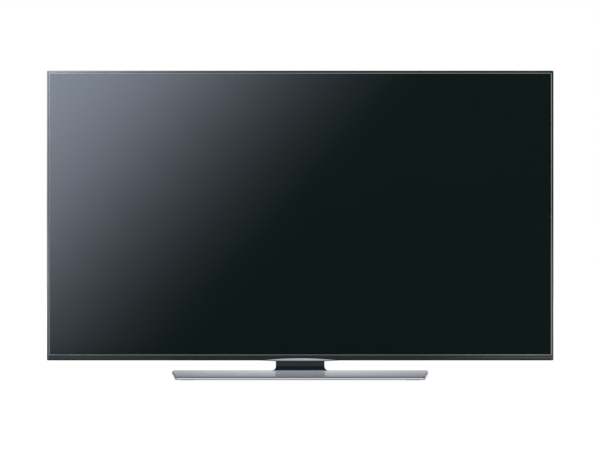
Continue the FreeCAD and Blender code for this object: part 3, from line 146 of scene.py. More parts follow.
class Recipe:
    """The node tree of a finish, a light or the world."""

    def __init__(self, owner: bpy.types.Material | bpy.types.Light | bpy.types.World) -> None:
        """Empties a node tree and keeps it.

        Args:
            owner: What the tree belongs to.
        """
        owner.use_nodes = True
        self.tree = owner.node_tree
        self.tree.nodes.clear()

    def node(self, kind: str, settings: Mapping[str, object] | None = None,
             sockets: Mapping[int | str, Feed] | None = None) -> bpy.types.Node:
        """Adds any node, with its settings made before its sockets are fed.

        Args:
            kind: The node's type.
            settings: Its properties; "stops" holds a ramp's positions and shares.
            sockets: What goes into its inputs, by name or number.

        Returns:
            The node.
        """
        made = self.tree.nodes.new(kind)
        for key, value in (settings or {}).items():
            if key == "stops":
                self.set_stops(made.color_ramp, value)
            else:
                setattr(made, key, value)
        for key, value in (sockets or {}).items():
            self.feed(made.inputs[key], value)
        return made

    @staticmethod
    def set_stops(ramp: bpy.types.ColorRamp, stops: Outline) -> None:
        """Gives a ramp its stops, with a smooth line through them.

        Args:
            ramp: The ramp.
            stops: Positions from 0 to 1, each with its share of white.
        """
        while len(ramp.elements) < len(stops):
            ramp.elements.new(1.0)
        for element, (position, share) in zip(ramp.elements, stops):
            element.position = position
            element.color = (share, share, share, 1.0)
        ramp.interpolation = "B_SPLINE"

    def feed(self, socket: Socket, value: Feed) -> None:
        """Links a value to an input, or sets the input to a constant.

        Args:
            socket: The input.
            value: A value, an output, a number, or a colour or vector.
        """
        if isinstance(value, Value):
            value = value.socket
        if isinstance(value, Socket):
            self.tree.links.new(value, socket)
        elif isinstance(value, (int, float)):
            socket.default_value = value
        elif len(socket.default_value) == 4:
            socket.default_value = (*value, 1.0)[:4]
        else:
            socket.default_value = value

    def end(self, kind: str, shader: Socket) -> None:
        """Ends the tree at its output, whose kind is Material, Light or World."""
        self.node(f"ShaderNodeOutput{kind}", {}, {"Surface": shader})

    def maths(self, operation: str, *terms: Feed) -> Value:
        """A Math node on up to three values."""
        node = self.node("ShaderNodeMath", {"operation": operation}, dict(enumerate(terms)))
        return Value(self, node.outputs[0])

    def clamp(self, value: Value) -> Value:
        """The value held between 0 and 1."""
        return Value(self, self.node("ShaderNodeClamp", {}, {"Value": value}).outputs[0])

    def vector(self, operation: str, *terms: Feed) -> Socket:
        """A Vector Math node's vector."""
        node = self.node("ShaderNodeVectorMath", {"operation": operation}, dict(enumerate(terms)))
        return node.outputs["Vector"]

    def split(self, vector: Socket) -> tuple[Value, Value, Value]:
        """The three numbers of a vector."""
        node = self.node("ShaderNodeSeparateXYZ", {}, {0: vector})
        return tuple(Value(self, output) for output in node.outputs)

    def join(self, x: Feed, y: Feed, z: Feed) -> Socket:
        """A vector made of three numbers."""
        return self.node("ShaderNodeCombineXYZ", {}, {0: x, 1: y, 2: z}).outputs[0]

    @cached_property
    def place(self) -> Socket:
        """The point on the object, in metres, in its own frame at rest."""
        return self.node("ShaderNodeTexCoord").outputs["Object"]

    @cached_property
    def point(self) -> tuple[Value, Value, Value]:
        """The three numbers of the point on the object."""
        return self.split(self.place)

    @cached_property
    def facing(self) -> tuple[Value, Value, Value]:
        """The three numbers of the surface's own direction."""
        return self.split(self.node("ShaderNodeNewGeometry").outputs["True Normal"])

    @cached_property
    def seen(self) -> Value:
        """A mask by what asks for the colour.

        Returns:
            One for rays from the camera, from gloss and through glass, and nothing for others.
        """
        rays = self.node("ShaderNodeLightPath").outputs
        direct = self.maths("MAXIMUM", rays["Is Camera Ray"], rays["Is Glossy Ray"])
        return self.maths("MAXIMUM", direct, rays["Is Transmission Ray"])

    def stretched(self, factors: Point) -> Socket:
        """The object's point with each axis multiplied, for a pattern with a direction."""
        return self.vector("MULTIPLY", self.place, factors)

    def noise(self, scale: float, detail: float = 2.0, rough: float = 0.5,
              vector: Socket | None = None) -> Value:
        """Soft clouds from 0 to 1.

        Args:
            scale: Clouds per metre.
            detail: How many finer layers it has.
            rough: How strong the finer layers are.
            vector: Where the pattern is read, if not at the object's own point.

        Returns:
            The pattern.
        """
        node = self.node("ShaderNodeTexNoise", {}, {
            "Vector": vector or self.place, "Scale": scale, "Detail": detail, "Roughness": rough})
        return Value(self, node.outputs["Fac"])

    def cells(self, vector: Socket, size: float, distance: str = "EUCLIDEAN") -> Value:
        """A pattern of cells, each with a number of its own.

        Args:
            vector: Where the pattern is read.
            size: A cell's width in metres.
            distance: How the distance to a cell's middle is measured.

        Returns:
            The cell's number, from 0 to 1.
        """
        node = self.node("ShaderNodeTexVoronoi", {"distance": distance},
                         {"Vector": vector, "Scale": 1.0 / size})
        return self.split(node.outputs["Color"])[0]

    def stripes(self, along: Value, pitch: float, share: float) -> Value:
        """One on the stripes of a regular row, which take a share of its pitch."""
        return self.maths("FRACT", along / pitch) < share

    def within(self, value: Value, low: float, high: float) -> Value:
        """One where the value lies between two numbers."""
        return (value > low) * (value < high)

    def radius(self, across: Value, up: Value) -> Value:
        """The distance that two lengths at a right angle make."""
        return self.maths("SQRT", across * across + up * up)

    def vary(self, start: Term, reaches: Sequence[float], *patterns: Value) -> Value:
        """Moves a number up and down by patterns.

        Args:
            start: The number where each pattern is at its middle.
            reaches: How far each pattern moves it in all.
            patterns: As many patterns from 0 to 1.

        Returns:
            The number.
        """
        for reach, pattern in zip(reaches, patterns, strict=True):
            start = start + (pattern - 0.5) * reach
        return start

    def mix(self, factor: Feed, first: Feed, second: Feed) -> Socket:
        """A colour between two colours."""
        node = self.node("ShaderNodeMix", {"data_type": "RGBA"}, {0: factor, 6: first, 7: second})
        return node.outputs[2]

    def bump(self, height: Value, distance: float, strength: float = 1.0) -> Socket:
        """The surface's direction where it follows a height.

        Args:
            height: The height, from 0 to 1.
            distance: The height's full reach in metres.
            strength: How much of it shows.

        Returns:
            The direction.
        """
        node = self.node("ShaderNodeBump", {},
                         {"Height": height, "Distance": distance, "Strength": strength})
        return node.outputs[0]


# Finishes


@dataclass(frozen=True)
class Finish:
    """A finish with its shader's constants; what changes over the surface is added by its kind.

    A pattern moves its colour between the colour times dark and the colour times light, and
    dulling says how far each of its patterns moves its roughness.
    """

    name: str
    slot: str
    colour: Colour
    roughness: float
    metallic: float = 0.0
    specular: float = 0.5
    sheen: float = 0.0
    edge_tint: float = 1.0
    dark: float = 1.0
    light: float = 1.0
    dulling: Shares = ()

    @cache
    def make(self) -> bpy.types.Material:
        """Makes the material the first time, and gives the same one afterwards.

        Returns:
            The material.
        """
        material = bpy.data.materials.new(self.name)
        recipe = Recipe(material)
        shader = recipe.node("ShaderNodeBsdfPrincipled", {}, {
            "Base Color": self.colour,
            "Roughness": self.roughness,
            "Metallic": self.metallic,
            "Specular IOR Level": self.specular,
            "Sheen Weight": self.sheen,
            "Specular Tint": (self.edge_tint,) * 3,
        })
        for name, value in self.surface(recipe).items():
            recipe.feed(shader.inputs[name], value)
        recipe.end("Material", shader.outputs[0])
        return material

    def surface(self, recipe: Recipe) -> dict[str, Feed]:
        """What changes over the surface, by the shader's input, and each kind has its own."""
        raise NotImplementedError

    def tint(self, factor: float) -> Colour:
        """The finish's colour made lighter or darker."""
        return tuple(part * factor for part in self.colour)

    def shades(self, recipe: Recipe, pattern: Value) -> Socket:
        """The finish's colour, which a pattern moves from its dark shade to its light one."""
        return recipe.mix(pattern, self.tint(self.dark), self.tint(self.light))


@dataclass(frozen=True)
class MouldedPlastic(Finish):
    """Plastic with the fine grain of an etched mould."""

    dark: float = 0.85
    light: float = 1.18
    dulling: Shares = (0.22, 0.08)
    grain: float = 0.7 * MM
    grain_depth: float = 0.03 * MM

    def surface(self, recipe: Recipe) -> dict[str, Feed]:
        """Grain in the direction and the gloss, and slow clouds in the colour.

        Args:
            recipe: The node tree to add to.

        Returns:
            What feeds each input.
        """
        pebbles = recipe.noise(scale=1.0 / self.grain, detail=3.0, rough=0.6)
        clouds = recipe.noise(scale=9.0)
        return {
            "Base Color": self.shades(recipe, clouds),
            "Roughness": recipe.vary(self.roughness, self.dulling, pebbles, clouds),
            "Normal": recipe.bump(pebbles, self.grain_depth),
        }


@dataclass(frozen=True)
class GlossPlastic(Finish):
    """Polished plastic: barely waved, with a trace of fine dust."""

    dulling: Shares = (0.05,)
    wave: float = 0.004 * MM

    def surface(self, recipe: Recipe) -> dict[str, Feed]:
        """A slow wave in the direction, and dust that dulls the gloss.

        Args:
            recipe: The node tree to add to.

        Returns:
            What feeds each input.
        """
        wave = recipe.noise(scale=30.0, detail=1.0)
        dust = recipe.noise(scale=900.0)
        return {
            "Roughness": recipe.vary(self.roughness, self.dulling, dust),
            "Normal": recipe.bump(wave, self.wave),
        }


@dataclass(frozen=True)
class NeckGloss(GlossPlastic):
    """Polished plastic, smoke grey above and deep black from the collar down."""

    collar_z: float = 19.0 * MM
    collar: Colour = (0.0003, 0.0065, 0.011)

    def surface(self, recipe: Recipe) -> dict[str, Feed]:
        """The collar's mask by its height, over the polish."""
        neck = recipe.mix(recipe.point[2] < self.collar_z, self.colour, self.collar)
        return {**super().surface(recipe), "Base Color": neck}


@dataclass(frozen=True)
class LensAcrylic(Finish):
    """Cool clear acrylic with painted shade, darker downwards from the crown, and a lip painted
    black as a shadow line.
    """

    dulling: Shares = (0.05,)
    # Painted shade: darker downwards from the crown to this height, and painted black below it as
    # a shadow line.
    shade_line_z: float = 32.9 * MM
    crown_z: float = 35.6 * MM
    shaded: Colour = (0.165, 0.205, 0.235)
    lip: Colour = (0.012, 0.014, 0.016)

    def surface(self, recipe: Recipe) -> dict[str, Feed]:
        """Painted shade darkens the colour downwards from the crown, and the lip, masked by its
        height, is painted black as a shadow line.

        Args:
            recipe: The node tree to add to.

        Returns:
            What feeds each input.
        """
        z = recipe.point[2]
        # Painted shade, darker towards the bottom.
        rise = recipe.clamp((z - self.shade_line_z) / (self.crown_z - self.shade_line_z))
        clear = recipe.mix(rise, self.shaded, self.colour)
        dust = recipe.noise(scale=900.0)
        return {
            # Painted shadow line: black below the set height.
            "Base Color": recipe.mix(z < self.shade_line_z, clear, self.lip),
            "Roughness": recipe.vary(self.roughness, self.dulling, dust),
        }


@dataclass(frozen=True)
class BezelMetal(Finish):
    """Dark satin aluminium, cut bright round the picture, with painted highlights at its bottom
    corners.

    The cut's colour is painted light, dim to bright by how light falls on its side, with a painted
    glint at the right end of its bottom run. The highlights lie on the bottom bar's ends and low
    outer edges.
    """

    dark: float = 0.82
    light: float = 1.2
    dulling: Shares = (0.1,)
    # Painted light: the cut's colour when shaded, when lit, and as a painted glint.
    cut_shaded: Colour = (0.04, 0.044, 0.046)
    cut_lit: Colour = (0.36, 0.38, 0.385)
    cut_glint: Colour = (0.75, 0.79, 0.79)
    cut_roughness: float = 0.3
    cut_left: float = -608.8 * MM
    cut_right: float = 608.3 * MM
    cut_low: float = 46.75 * MM
    cut_high: float = 730.3 * MM
    cut_lean: Pair = (0.3, 0.62)
    cut_front: float = -0.5
    right_band: float = 2.0 * MM
    top_band: float = 2.0 * MM
    bottom_band: float = 1.2 * MM
    # Painted light: how lit the cut is on the left, at the top and at the bottom; the right is
    # fully lit.
    left_light_level: float = 0.26
    top_light_level: float = 0.64
    bottom_light_level: float = 0.90
    upright: float = 606.8 * MM
    hair: float = 0.02 * MM
    hair_scale: float = 60.0
    hair_stretch: float = 60.0
    # Painted highlight: how much paler the metal is made, weaker on the left, where it starts and
    # grows along the bottom bar, and how it fades up the outer edges.
    pale: float = 3.6
    highlight_left_share: float = 0.55
    highlight_start: float = 300.0 * MM
    highlight_reach: float = 250.0 * MM
    highlight_top: float = 400.0 * MM
    highlight_fall: float = 160.0 * MM
    highlight_band_low: float = 38.6 * MM
    highlight_band_high: float = 43.2 * MM

    def surface(self, recipe: Recipe) -> dict[str, Feed]:
        """A bright cut round the picture in painted light, hairlines along each bar, and painted
        highlights at the bottom corners.

        Args:
            recipe: The node tree to add to.

        Returns:
            What feeds each input.
        """
        across, _, height = recipe.point
        upright = abs(across) > self.upright
        level_hairs, upright_hairs = (
            recipe.noise(scale=self.hair_scale, detail=3.0, vector=recipe.stretched(factors))
            for factors in ((1.0, self.hair_stretch, self.hair_stretch),
                            (self.hair_stretch, self.hair_stretch, 1.0)))
        hairs = level_hairs * (1.0 - upright) + upright_hairs * upright
        # Painted highlight: paler tints of the metal where the highlight lies.
        plain = recipe.mix(
            self.painted_highlight(recipe, upright), self.shades(recipe, hairs),
            recipe.mix(hairs, self.tint(self.dark * self.pale), self.tint(self.light * self.pale)))
        cut = self.cut_mask(recipe)
        clouds = recipe.noise(scale=14.0)
        return {
            "Base Color": recipe.mix(cut, plain, self.painted_cut_colour(recipe)),
            "Roughness": recipe.maths("MULTIPLY_ADD", cut, self.cut_roughness - self.roughness,
                                      recipe.vary(self.roughness, self.dulling, clouds)),
            "Normal": recipe.bump(hairs, self.hair, strength=0.3),
        }

    def cut_mask(self, recipe: Recipe) -> Value:
        """The slanted edge at the picture, by its lean and its place.

        Args:
            recipe: The node tree to add to.

        Returns:
            One on the cut, and nothing elsewhere.
        """
        x, y, z = recipe.facing
        across, _, height = recipe.point
        slanted = recipe.within(abs(x) + abs(z), *self.cut_lean) * (y < self.cut_front)
        flank = (across > self.cut_left) * (
            1.0 - recipe.within(across, self.cut_right - self.right_band, self.cut_right))
        return slanted * flank * recipe.within(height, self.cut_low, self.cut_high)

    def painted_cut_colour(self, recipe: Recipe) -> Socket:
        """The cut's colour: painted light that is dimmer or brighter on each side of the picture,
        with a painted glint.

        Args:
            recipe: The node tree to add to.

        Returns:
            The colour.
        """
        across, _, height = recipe.point
        right = across > self.cut_right
        top = (height > self.cut_high - self.top_band) * (1.0 - right)
        bottom = (height < self.cut_low + self.bottom_band) * (1.0 - right)
        # Painted light: the cut's level on each side, by how lit that side is.
        level = self.left_light_level
        for side, full in ((right, 1.0), (top, self.top_light_level), (bottom, self.bottom_light_level)):
            level = level + side * (full - self.left_light_level)
        # Painted glint towards the right end of the bottom run.
        painted_glint = bottom * recipe.clamp((across - self.highlight_start) / self.highlight_reach)
        return recipe.mix(painted_glint, recipe.mix(level, self.cut_shaded, self.cut_lit), self.cut_glint)

    def painted_highlight(self, recipe: Recipe, upright: Value) -> Value:
        """Where the painted highlight lies: most at the right corner, less at the left one.

        Args:
            recipe: The node tree to add to.
            upright: One on the outer edges of the upright bars.

        Returns:
            The painted highlight's strength, from 0 to 1.
        """
        across, _, height = recipe.point
        # Painted highlight along the ends of the bottom bar and on the outer edges low down.
        chin_highlight = recipe.within(height, self.highlight_band_low, self.highlight_band_high) * recipe.clamp(
            (abs(across) - self.highlight_start) / self.highlight_reach)
        edges = upright * recipe.clamp((self.highlight_top - height) / self.highlight_fall)
        return recipe.maths("MAXIMUM", chin_highlight, edges) * (
            self.highlight_left_share + (across > 0.0) * (1.0 - self.highlight_left_share))


@dataclass(frozen=True)
class BrushedMetal(Finish):
    """Aluminium brushed along X, so that what it mirrors is drawn out across the hairlines.

    Painted shade makes it darker towards its two ends, from the rear to the front, and on its
    front-facing edge.
    """

    light: float = 1.16
    dulling: Shares = (0.12,)
    # Painted shade: the plate's tints at its two ends.
    shaded_end_dark: float = 0.66
    shaded_end_light: float = 0.78
    spread: float = 0.60
    broad_share: float = 0.3
    line: float = 0.16 * MM
    fine_run: float = 14.0
    broad_run: Pair = (3.0, 260.0)
    reach: float = 290.0 * MM
    # Painted shade: lighter at the rear and darker at the front.
    rear_y: float = 58.0 * MM
    depth: float = 208.0 * MM
    rear_light_level: float = 1.15
    front_shade_level: float = 0.62
    # Painted shade on the plate's front-facing edge.
    edge: Colour = (0.22, 0.235, 0.26)
    shaded_edge_facing: float = -0.4

    def surface(self, recipe: Recipe) -> dict[str, Feed]:
        """Leans the surface's direction to and fro along Y, hairline by hairline.

        Args:
            recipe: The node tree to add to.

        Returns:
            What feeds each input.
        """
        fine, broad = (recipe.stretched((*run, 1.0))
                       for run in ((self.fine_run, 1.0 / self.line), self.broad_run))
        fine = recipe.noise(scale=1.0, rough=0.7, vector=fine)
        broad = recipe.noise(scale=1.0, detail=3.0, vector=broad)
        lean = (fine - 0.5) * self.spread + (broad - 0.5) * (self.spread * self.broad_share)
        normal = recipe.node("ShaderNodeNewGeometry").outputs["Normal"]
        tilted = recipe.vector("ADD", normal, recipe.join(0.0, lean, 0.0))
        x, y, _ = recipe.point
        # Painted shade, darker towards both ends.
        away = recipe.clamp(x * x / self.reach ** 2)
        ends = recipe.mix(broad, self.tint(self.shaded_end_dark), self.tint(self.shaded_end_light))
        # Painted shade, from lighter at the rear to darker at the front.
        front_shade_share = recipe.clamp((self.rear_y - y) / self.depth)
        level = self.rear_light_level + front_shade_share * (self.front_shade_level - self.rear_light_level)
        plate = recipe.vector("MULTIPLY", recipe.mix(away, self.shades(recipe, broad), ends),
                              recipe.join(level, level, level))
        return {
            # Painted shade on the front-facing edge.
            "Base Color": recipe.mix(recipe.facing[1] < self.shaded_edge_facing, plate, self.edge),
            "Roughness": recipe.vary(self.roughness, self.dulling, fine),
            "Normal": recipe.vector("NORMALIZE", tilted),
        }


@dataclass(frozen=True)
class PolishedRim(Finish):
    """Aluminium polished along the front of the rim, with painted shade grey below and dark left,
    and a painted highlight right.
    """

    dulling: Shares = (0.1,)
    end_dulling: float = 0.2
    split_z: float = 3.0 * MM
    # Painted shade below and at the left end, painted highlight at the right end.
    shaded_lower: Colour = (0.22, 0.23, 0.24)
    shaded_left_end: Colour = (0.06, 0.062, 0.065)
    lit_right_end: Colour = (0.42, 0.43, 0.45)
    end_facing: float = 0.72
    line: float = 0.01 * MM

    def surface(self, recipe: Recipe) -> dict[str, Feed]:
        """The masks of the painted shade below and at the left end, of the painted highlight at
        the right end, and lines along the rim.

        Args:
            recipe: The node tree to add to.

        Returns:
            What feeds each input.
        """
        # Below this height the colour is painted shade, and the finish is also rougher.
        low = recipe.point[2] < self.split_z
        side = recipe.facing[0]
        plain = recipe.mix(low, self.colour, self.shaded_lower)
        # Painted highlight on the right end, painted shade on the left end.
        right = recipe.mix(side > self.end_facing, plain, self.lit_right_end)
        dull = recipe.maths("MAXIMUM", low, abs(side) > self.end_facing)
        lines = recipe.noise(scale=90.0, detail=3.0, vector=recipe.stretched((2.0, 2.0, 60.0)))
        return {
            "Base Color": recipe.mix(side < -self.end_facing, right, self.shaded_left_end),
            "Roughness": recipe.vary(self.roughness + dull * self.end_dulling, self.dulling,
                                     lines),
            "Normal": recipe.bump(lines, self.line, strength=0.5),
        }


@dataclass(frozen=True)
class SheetSteel(Finish):
    """Zinc-plated sheet with its frosted flakes."""

    dark: float = 0.82
    light: float = 1.1
    dulling: Shares = (0.14, 0.08)
    flake: float = 9.0 * MM
    tooth: float = 0.01 * MM

    def surface(self, recipe: Recipe) -> dict[str, Feed]:
        """Each flake has its own shade and gloss.

        Args:
            recipe: The node tree to add to.

        Returns:
            What feeds each input.
        """
        flakes = recipe.cells(recipe.place, self.flake)
        fine = recipe.noise(scale=700.0)
        return {
            "Base Color": self.shades(recipe, flakes),
            "Roughness": recipe.vary(self.roughness, self.dulling, flakes, fine),
            "Normal": recipe.bump(fine, self.tooth),
        }


@dataclass(frozen=True)
class RolledMetal(Finish):
    """Bare or plated metal with faint lines from the rollers."""

    dark: float = 0.9
    light: float = 1.08
    dulling: Shares = (0.2, 0.1)
    along: Point = (1.0, 1.0, 30.0)
    line: float = 0.02 * MM

    def surface(self, recipe: Recipe) -> dict[str, Feed]:
        """Lines in the gloss and the shade, with stray smudges.

        Args:
            recipe: The node tree to add to.

        Returns:
            What feeds each input.
        """
        lines = recipe.noise(scale=90.0, detail=3.0, vector=recipe.stretched(self.along))
        smudge = recipe.noise(scale=25.0)
        return {
            "Base Color": self.shades(recipe, smudge),
            "Roughness": recipe.vary(self.roughness, self.dulling, lines, smudge),
            "Normal": recipe.bump(lines, self.line, strength=0.5),
        }


@dataclass(frozen=True)
class TurnedMetal(Finish):
    """Plated metal faced on a lathe, with fine rings round each of the four mount points."""

    dark: float = 0.88
    light: float = 1.06
    dulling: Shares = (0.12,)
    centre_x: float = 200.0 * MM
    middle_z: float = 384.7 * MM
    groove: float = 0.35 * MM
    groove_depth: float = 0.012 * MM
    groove_dulling: float = 0.06

    def surface(self, recipe: Recipe) -> dict[str, Feed]:
        """Rings by the distance from the nearest mount point.

        Args:
            recipe: The node tree to add to.

        Returns:
            What feeds each input.
        """
        x, _, z = recipe.point
        radius = recipe.radius(abs(x) - self.centre_x, abs(z - self.middle_z) - self.centre_x)
        rings = recipe.maths("SINE", radius * (2.0 * math.pi / self.groove))
        smudge = recipe.noise(scale=120.0)
        return {
            "Base Color": self.shades(recipe, smudge),
            "Roughness": recipe.vary(self.roughness + rings * self.groove_dulling, self.dulling,
                                     smudge),
            "Normal": recipe.bump(rings, self.groove_depth, strength=0.6),
        }


@dataclass(frozen=True)
class PowderCoat(Finish):
    """Baked powder paint with its fine orange peel."""

    dark: float = 0.88
    light: float = 1.12
    dulling: Shares = (0.14,)
    peel: float = 1.6 * MM
    peel_depth: float = 0.05 * MM

    def surface(self, recipe: Recipe) -> dict[str, Feed]:
        """Peel in the direction and specks in the gloss.

        Args:
            recipe: The node tree to add to.

        Returns:
            What feeds each input.
        """
        peel = recipe.noise(scale=1.0 / self.peel)
        specks = recipe.noise(scale=2400.0, detail=1.0)
        return {
            "Base Color": self.shades(recipe, peel),
            "Roughness": recipe.vary(self.roughness, self.dulling, specks),
            "Normal": recipe.bump(peel, self.peel_depth),
        }


@dataclass(frozen=True)
class ScreenFace(Finish):
    """The panel's front film: near black, with a slight haze, and darker outside the picture."""

    dark: float = 0.94
    light: float = 1.06
    dulling: Shares = (0.02,)
    half_width: float = 604.8 * MM
    low: float = 48.5 * MM
    high: float = 727.9 * MM
    border: Colour = (0.0022, 0.0034, 0.0034)
    tooth: float = 0.002 * MM

    def surface(self, recipe: Recipe) -> dict[str, Feed]:
        """The border's mask, the haze's faint unevenness and the film's fine tooth.

        Args:
            recipe: The node tree to add to.

        Returns:
            What feeds each input.
        """
        x, _, z = recipe.point
        picture = (abs(x) < self.half_width) * recipe.within(z, self.low, self.high)
        haze = recipe.noise(scale=5.0)
        grit = recipe.noise(scale=3800.0, detail=1.0)
        return {
            "Base Color": recipe.mix(picture, self.border, self.shades(recipe, haze)),
            "Roughness": recipe.vary(self.roughness, self.dulling, haze),
            "Normal": recipe.bump(grit, self.tooth, strength=0.3),
        }


@dataclass(frozen=True)
class DottedAcrylic(Finish):
    """Clear acrylic with the printed dots that let its light out."""

    pitch: float = 3.2 * MM
    least: float = 0.12
    growth: float = 0.28
    dot: Colour = (0.93, 0.93, 0.9)
    dot_dulling: float = 0.4

    def surface(self, recipe: Recipe) -> dict[str, Feed]:
        """White dots in rows, larger towards the top, away from the lamps.

        Args:
            recipe: The node tree to add to.

        Returns:
            What feeds each input.
        """
        x, _, z = recipe.point
        across, up = (recipe.maths("FRACT", length / self.pitch) - 0.5 for length in (x, z))
        dots = recipe.radius(across, up) < self.least + z * self.growth
        return {
            "Base Color": recipe.mix(dots, self.colour, self.dot),
            "Roughness": self.roughness + dots * self.dot_dulling,
        }


@dataclass(frozen=True)
class CircuitBoard(Finish):
    """Solder mask over copper tracks, with bare tinned pads."""

    patch: float = 9.0 * MM
    track: float = 1.1 * MM
    track_share: float = 0.45
    bare: Pair = (0.12, 0.86)
    pad_pitch: float = 5.0 * MM
    pad_half: float = 0.16
    pad_share: float = 0.7
    over_track: float = 1.9
    tin: Colour = (0.62, 0.6, 0.56)
    polish: float = 0.1
    rise: float = 0.05 * MM

    def surface(self, recipe: Recipe) -> dict[str, Feed]:
        """Tracks run along or across, patch by patch, and pads stand in loose rows.

        Args:
            recipe: The node tree to add to.

        Returns:
            What feeds each input.
        """
        x, _, z = recipe.point
        own = recipe.cells(recipe.stretched((1.0, 0.0, 1.0)), self.patch, "CHEBYCHEV")
        wide = recipe.stripes(x, self.track, self.track_share) * (own > 0.5)
        tall = recipe.stripes(z, self.track, self.track_share) * (own < 0.5)
        tracks = recipe.clamp(wide + tall) * recipe.within(own, *self.bare)
        across, up = (abs(recipe.maths("FRACT", length / self.pad_pitch) - 0.5)
                      for length in (x, z))
        pads = (recipe.maths("MAXIMUM", across, up) < self.pad_half) * (own > self.pad_share)
        mask = recipe.mix(tracks, self.colour, self.tint(self.over_track))
        return {
            "Base Color": recipe.mix(pads, mask, self.tin),
            "Metallic": pads,
            "Roughness": self.roughness - tracks * self.polish - pads * self.polish,
            "Normal": recipe.bump(recipe.clamp(tracks + pads), self.rise),
        }


@dataclass(frozen=True)
class LampBoard(Finish):
    """A white strip with the yellow faces of its lamps."""

    lamp_low: float = 39.2 * MM
    lamp: Colour = (0.85, 0.62, 0.12)
    track: float = 6.3 * MM
    track_share: float = 0.12
    track_shade: float = 0.8

    def surface(self, recipe: Recipe) -> dict[str, Feed]:
        """The lamps' own colour above the strip, and tracks on it.

        Args:
            recipe: The node tree to add to.

        Returns:
            What feeds each input.
        """
        x, _, z = recipe.point
        lines = recipe.stripes(x, self.track, self.track_share)
        plain = recipe.mix(lines, self.colour, self.tint(self.track_shade))
        return {"Base Color": recipe.mix(z > self.lamp_low, plain, self.lamp)}


@dataclass(frozen=True)
class BoardParts(Finish):
    """Black chips, copper coils, a bright heat sink and sleeved cans, told apart by place."""

    dulling: Shares = (0.1,)
    sink_wide: Pair = (235.5 * MM, 286.5 * MM)
    sink_tall: Pair = (248.5 * MM, 300.0 * MM)
    coils_tall: Pair = (290.0 * MM, 345.0 * MM)
    cans_tall: Pair = (220.0 * MM, 266.0 * MM)
    sink: Colour = (0.62, 0.63, 0.65)
    sink_polish: float = 0.2
    coil_metal: float = 0.8
    turn: float = 1.2 * MM
    turn_share: float = 0.55
    lacquer: Colour = (0.20, 0.075, 0.02)
    copper: Colour = (0.42, 0.17, 0.05)
    band: float = 13.0 * MM
    band_share: float = 0.2
    sleeve: Colour = (0.012, 0.02, 0.05)
    can: Colour = (0.5, 0.52, 0.55)
    rise: float = 0.2 * MM
    grain_rise: float = 0.2

    def surface(self, recipe: Recipe) -> dict[str, Feed]:
        """Masks by place, and windings on the coils.

        Args:
            recipe: The node tree to add to.

        Returns:
            What feeds each input.
        """
        x, _, z = recipe.point
        sink = recipe.within(x, *self.sink_wide) * recipe.within(z, *self.sink_tall)
        power = x < 0.0
        coils = power * recipe.within(z, *self.coils_tall)
        cans = power * recipe.within(z, *self.cans_tall)
        turns = recipe.stripes(z, self.turn, self.turn_share)
        wire = recipe.mix(turns, self.lacquer, self.copper)
        sleeve = recipe.mix(recipe.stripes(x, self.band, self.band_share), self.sleeve, self.can)
        colour = recipe.mix(sink, self.colour, self.sink)
        colour = recipe.mix(coils, colour, wire)
        grain = recipe.noise(scale=1500.0)
        return {
            "Base Color": recipe.mix(cans, colour, sleeve),
            "Metallic": recipe.clamp(sink + coils * self.coil_metal),
            "Roughness": recipe.vary(self.roughness - sink * self.sink_polish, self.dulling,
                                     grain),
            "Normal": recipe.bump(turns * coils + grain * self.grain_rise, self.rise),
        }


@dataclass(frozen=True)
class FlatCable(Finish):
    """A white cable whose tinned wires show as fine lines."""

    pitch: float = 1.0 * MM
    share: float = 0.3
    across_share: float = 0.4
    wire: Colour = (0.5, 0.52, 0.55)
    rise: float = 0.05 * MM

    def surface(self, recipe: Recipe) -> dict[str, Feed]:
        """Lines across both of the cable's directions, so that each run shows its own.

        Args:
            recipe: The node tree to add to.

        Returns:
            What feeds each input.
        """
        along, across = (recipe.stripes(recipe.point[axis], self.pitch, self.share)
                         for axis in (0, 2))
        lines = recipe.clamp(along + across * self.across_share)
        return {
            "Base Color": recipe.mix(lines, self.colour, self.wire),
            "Normal": recipe.bump(lines, self.rise),
        }


@dataclass(frozen=True)
class ConePaper(Finish):
    """A coated cone with a rubber edge, fine rings and a smooth cap, told apart by radius."""

    dark: float = 0.75
    light: float = 1.4
    centre_x: float = 140.0 * MM
    centre_z: float = 97.5 * MM
    edge: float = 28.5 * MM
    edge_width: float = 5.5 * MM
    cap: float = 11.2 * MM
    ring_rate: float = 5200.0
    rubber: Colour = (0.012, 0.012, 0.013)
    rubber_polish: float = 0.2
    coating: Colour = (0.03, 0.031, 0.034)
    cap_polish: float = 0.35
    rise: float = 0.8 * MM
    ring_rise: float = 0.15
    fibre_rise: float = 0.1

    def surface(self, recipe: Recipe) -> dict[str, Feed]:
        """Rings by the distance from the cone's own axis.

        Args:
            recipe: The node tree to add to.

        Returns:
            What feeds each input.
        """
        x, _, z = recipe.point
        radius = recipe.radius(abs(x) - self.centre_x, z - self.centre_z)
        rubber = radius > self.edge
        cap = radius < self.cap
        rings = recipe.maths("SINE", radius * self.ring_rate) * (1.0 - cap) * (1.0 - rubber)
        roll = recipe.maths("SINE", (radius - self.edge) * (math.pi / self.edge_width)) * rubber
        fibres = recipe.noise(scale=1200.0, detail=3.0)
        colour = recipe.mix(rubber, self.shades(recipe, fibres), self.rubber)
        return {
            "Base Color": recipe.mix(cap, colour, self.coating),
            "Roughness": self.roughness - rubber * self.rubber_polish - cap * self.cap_polish,
            "Normal": recipe.bump(
                rings * self.ring_rise + roll + fibres * self.fibre_rise, self.rise),
        }


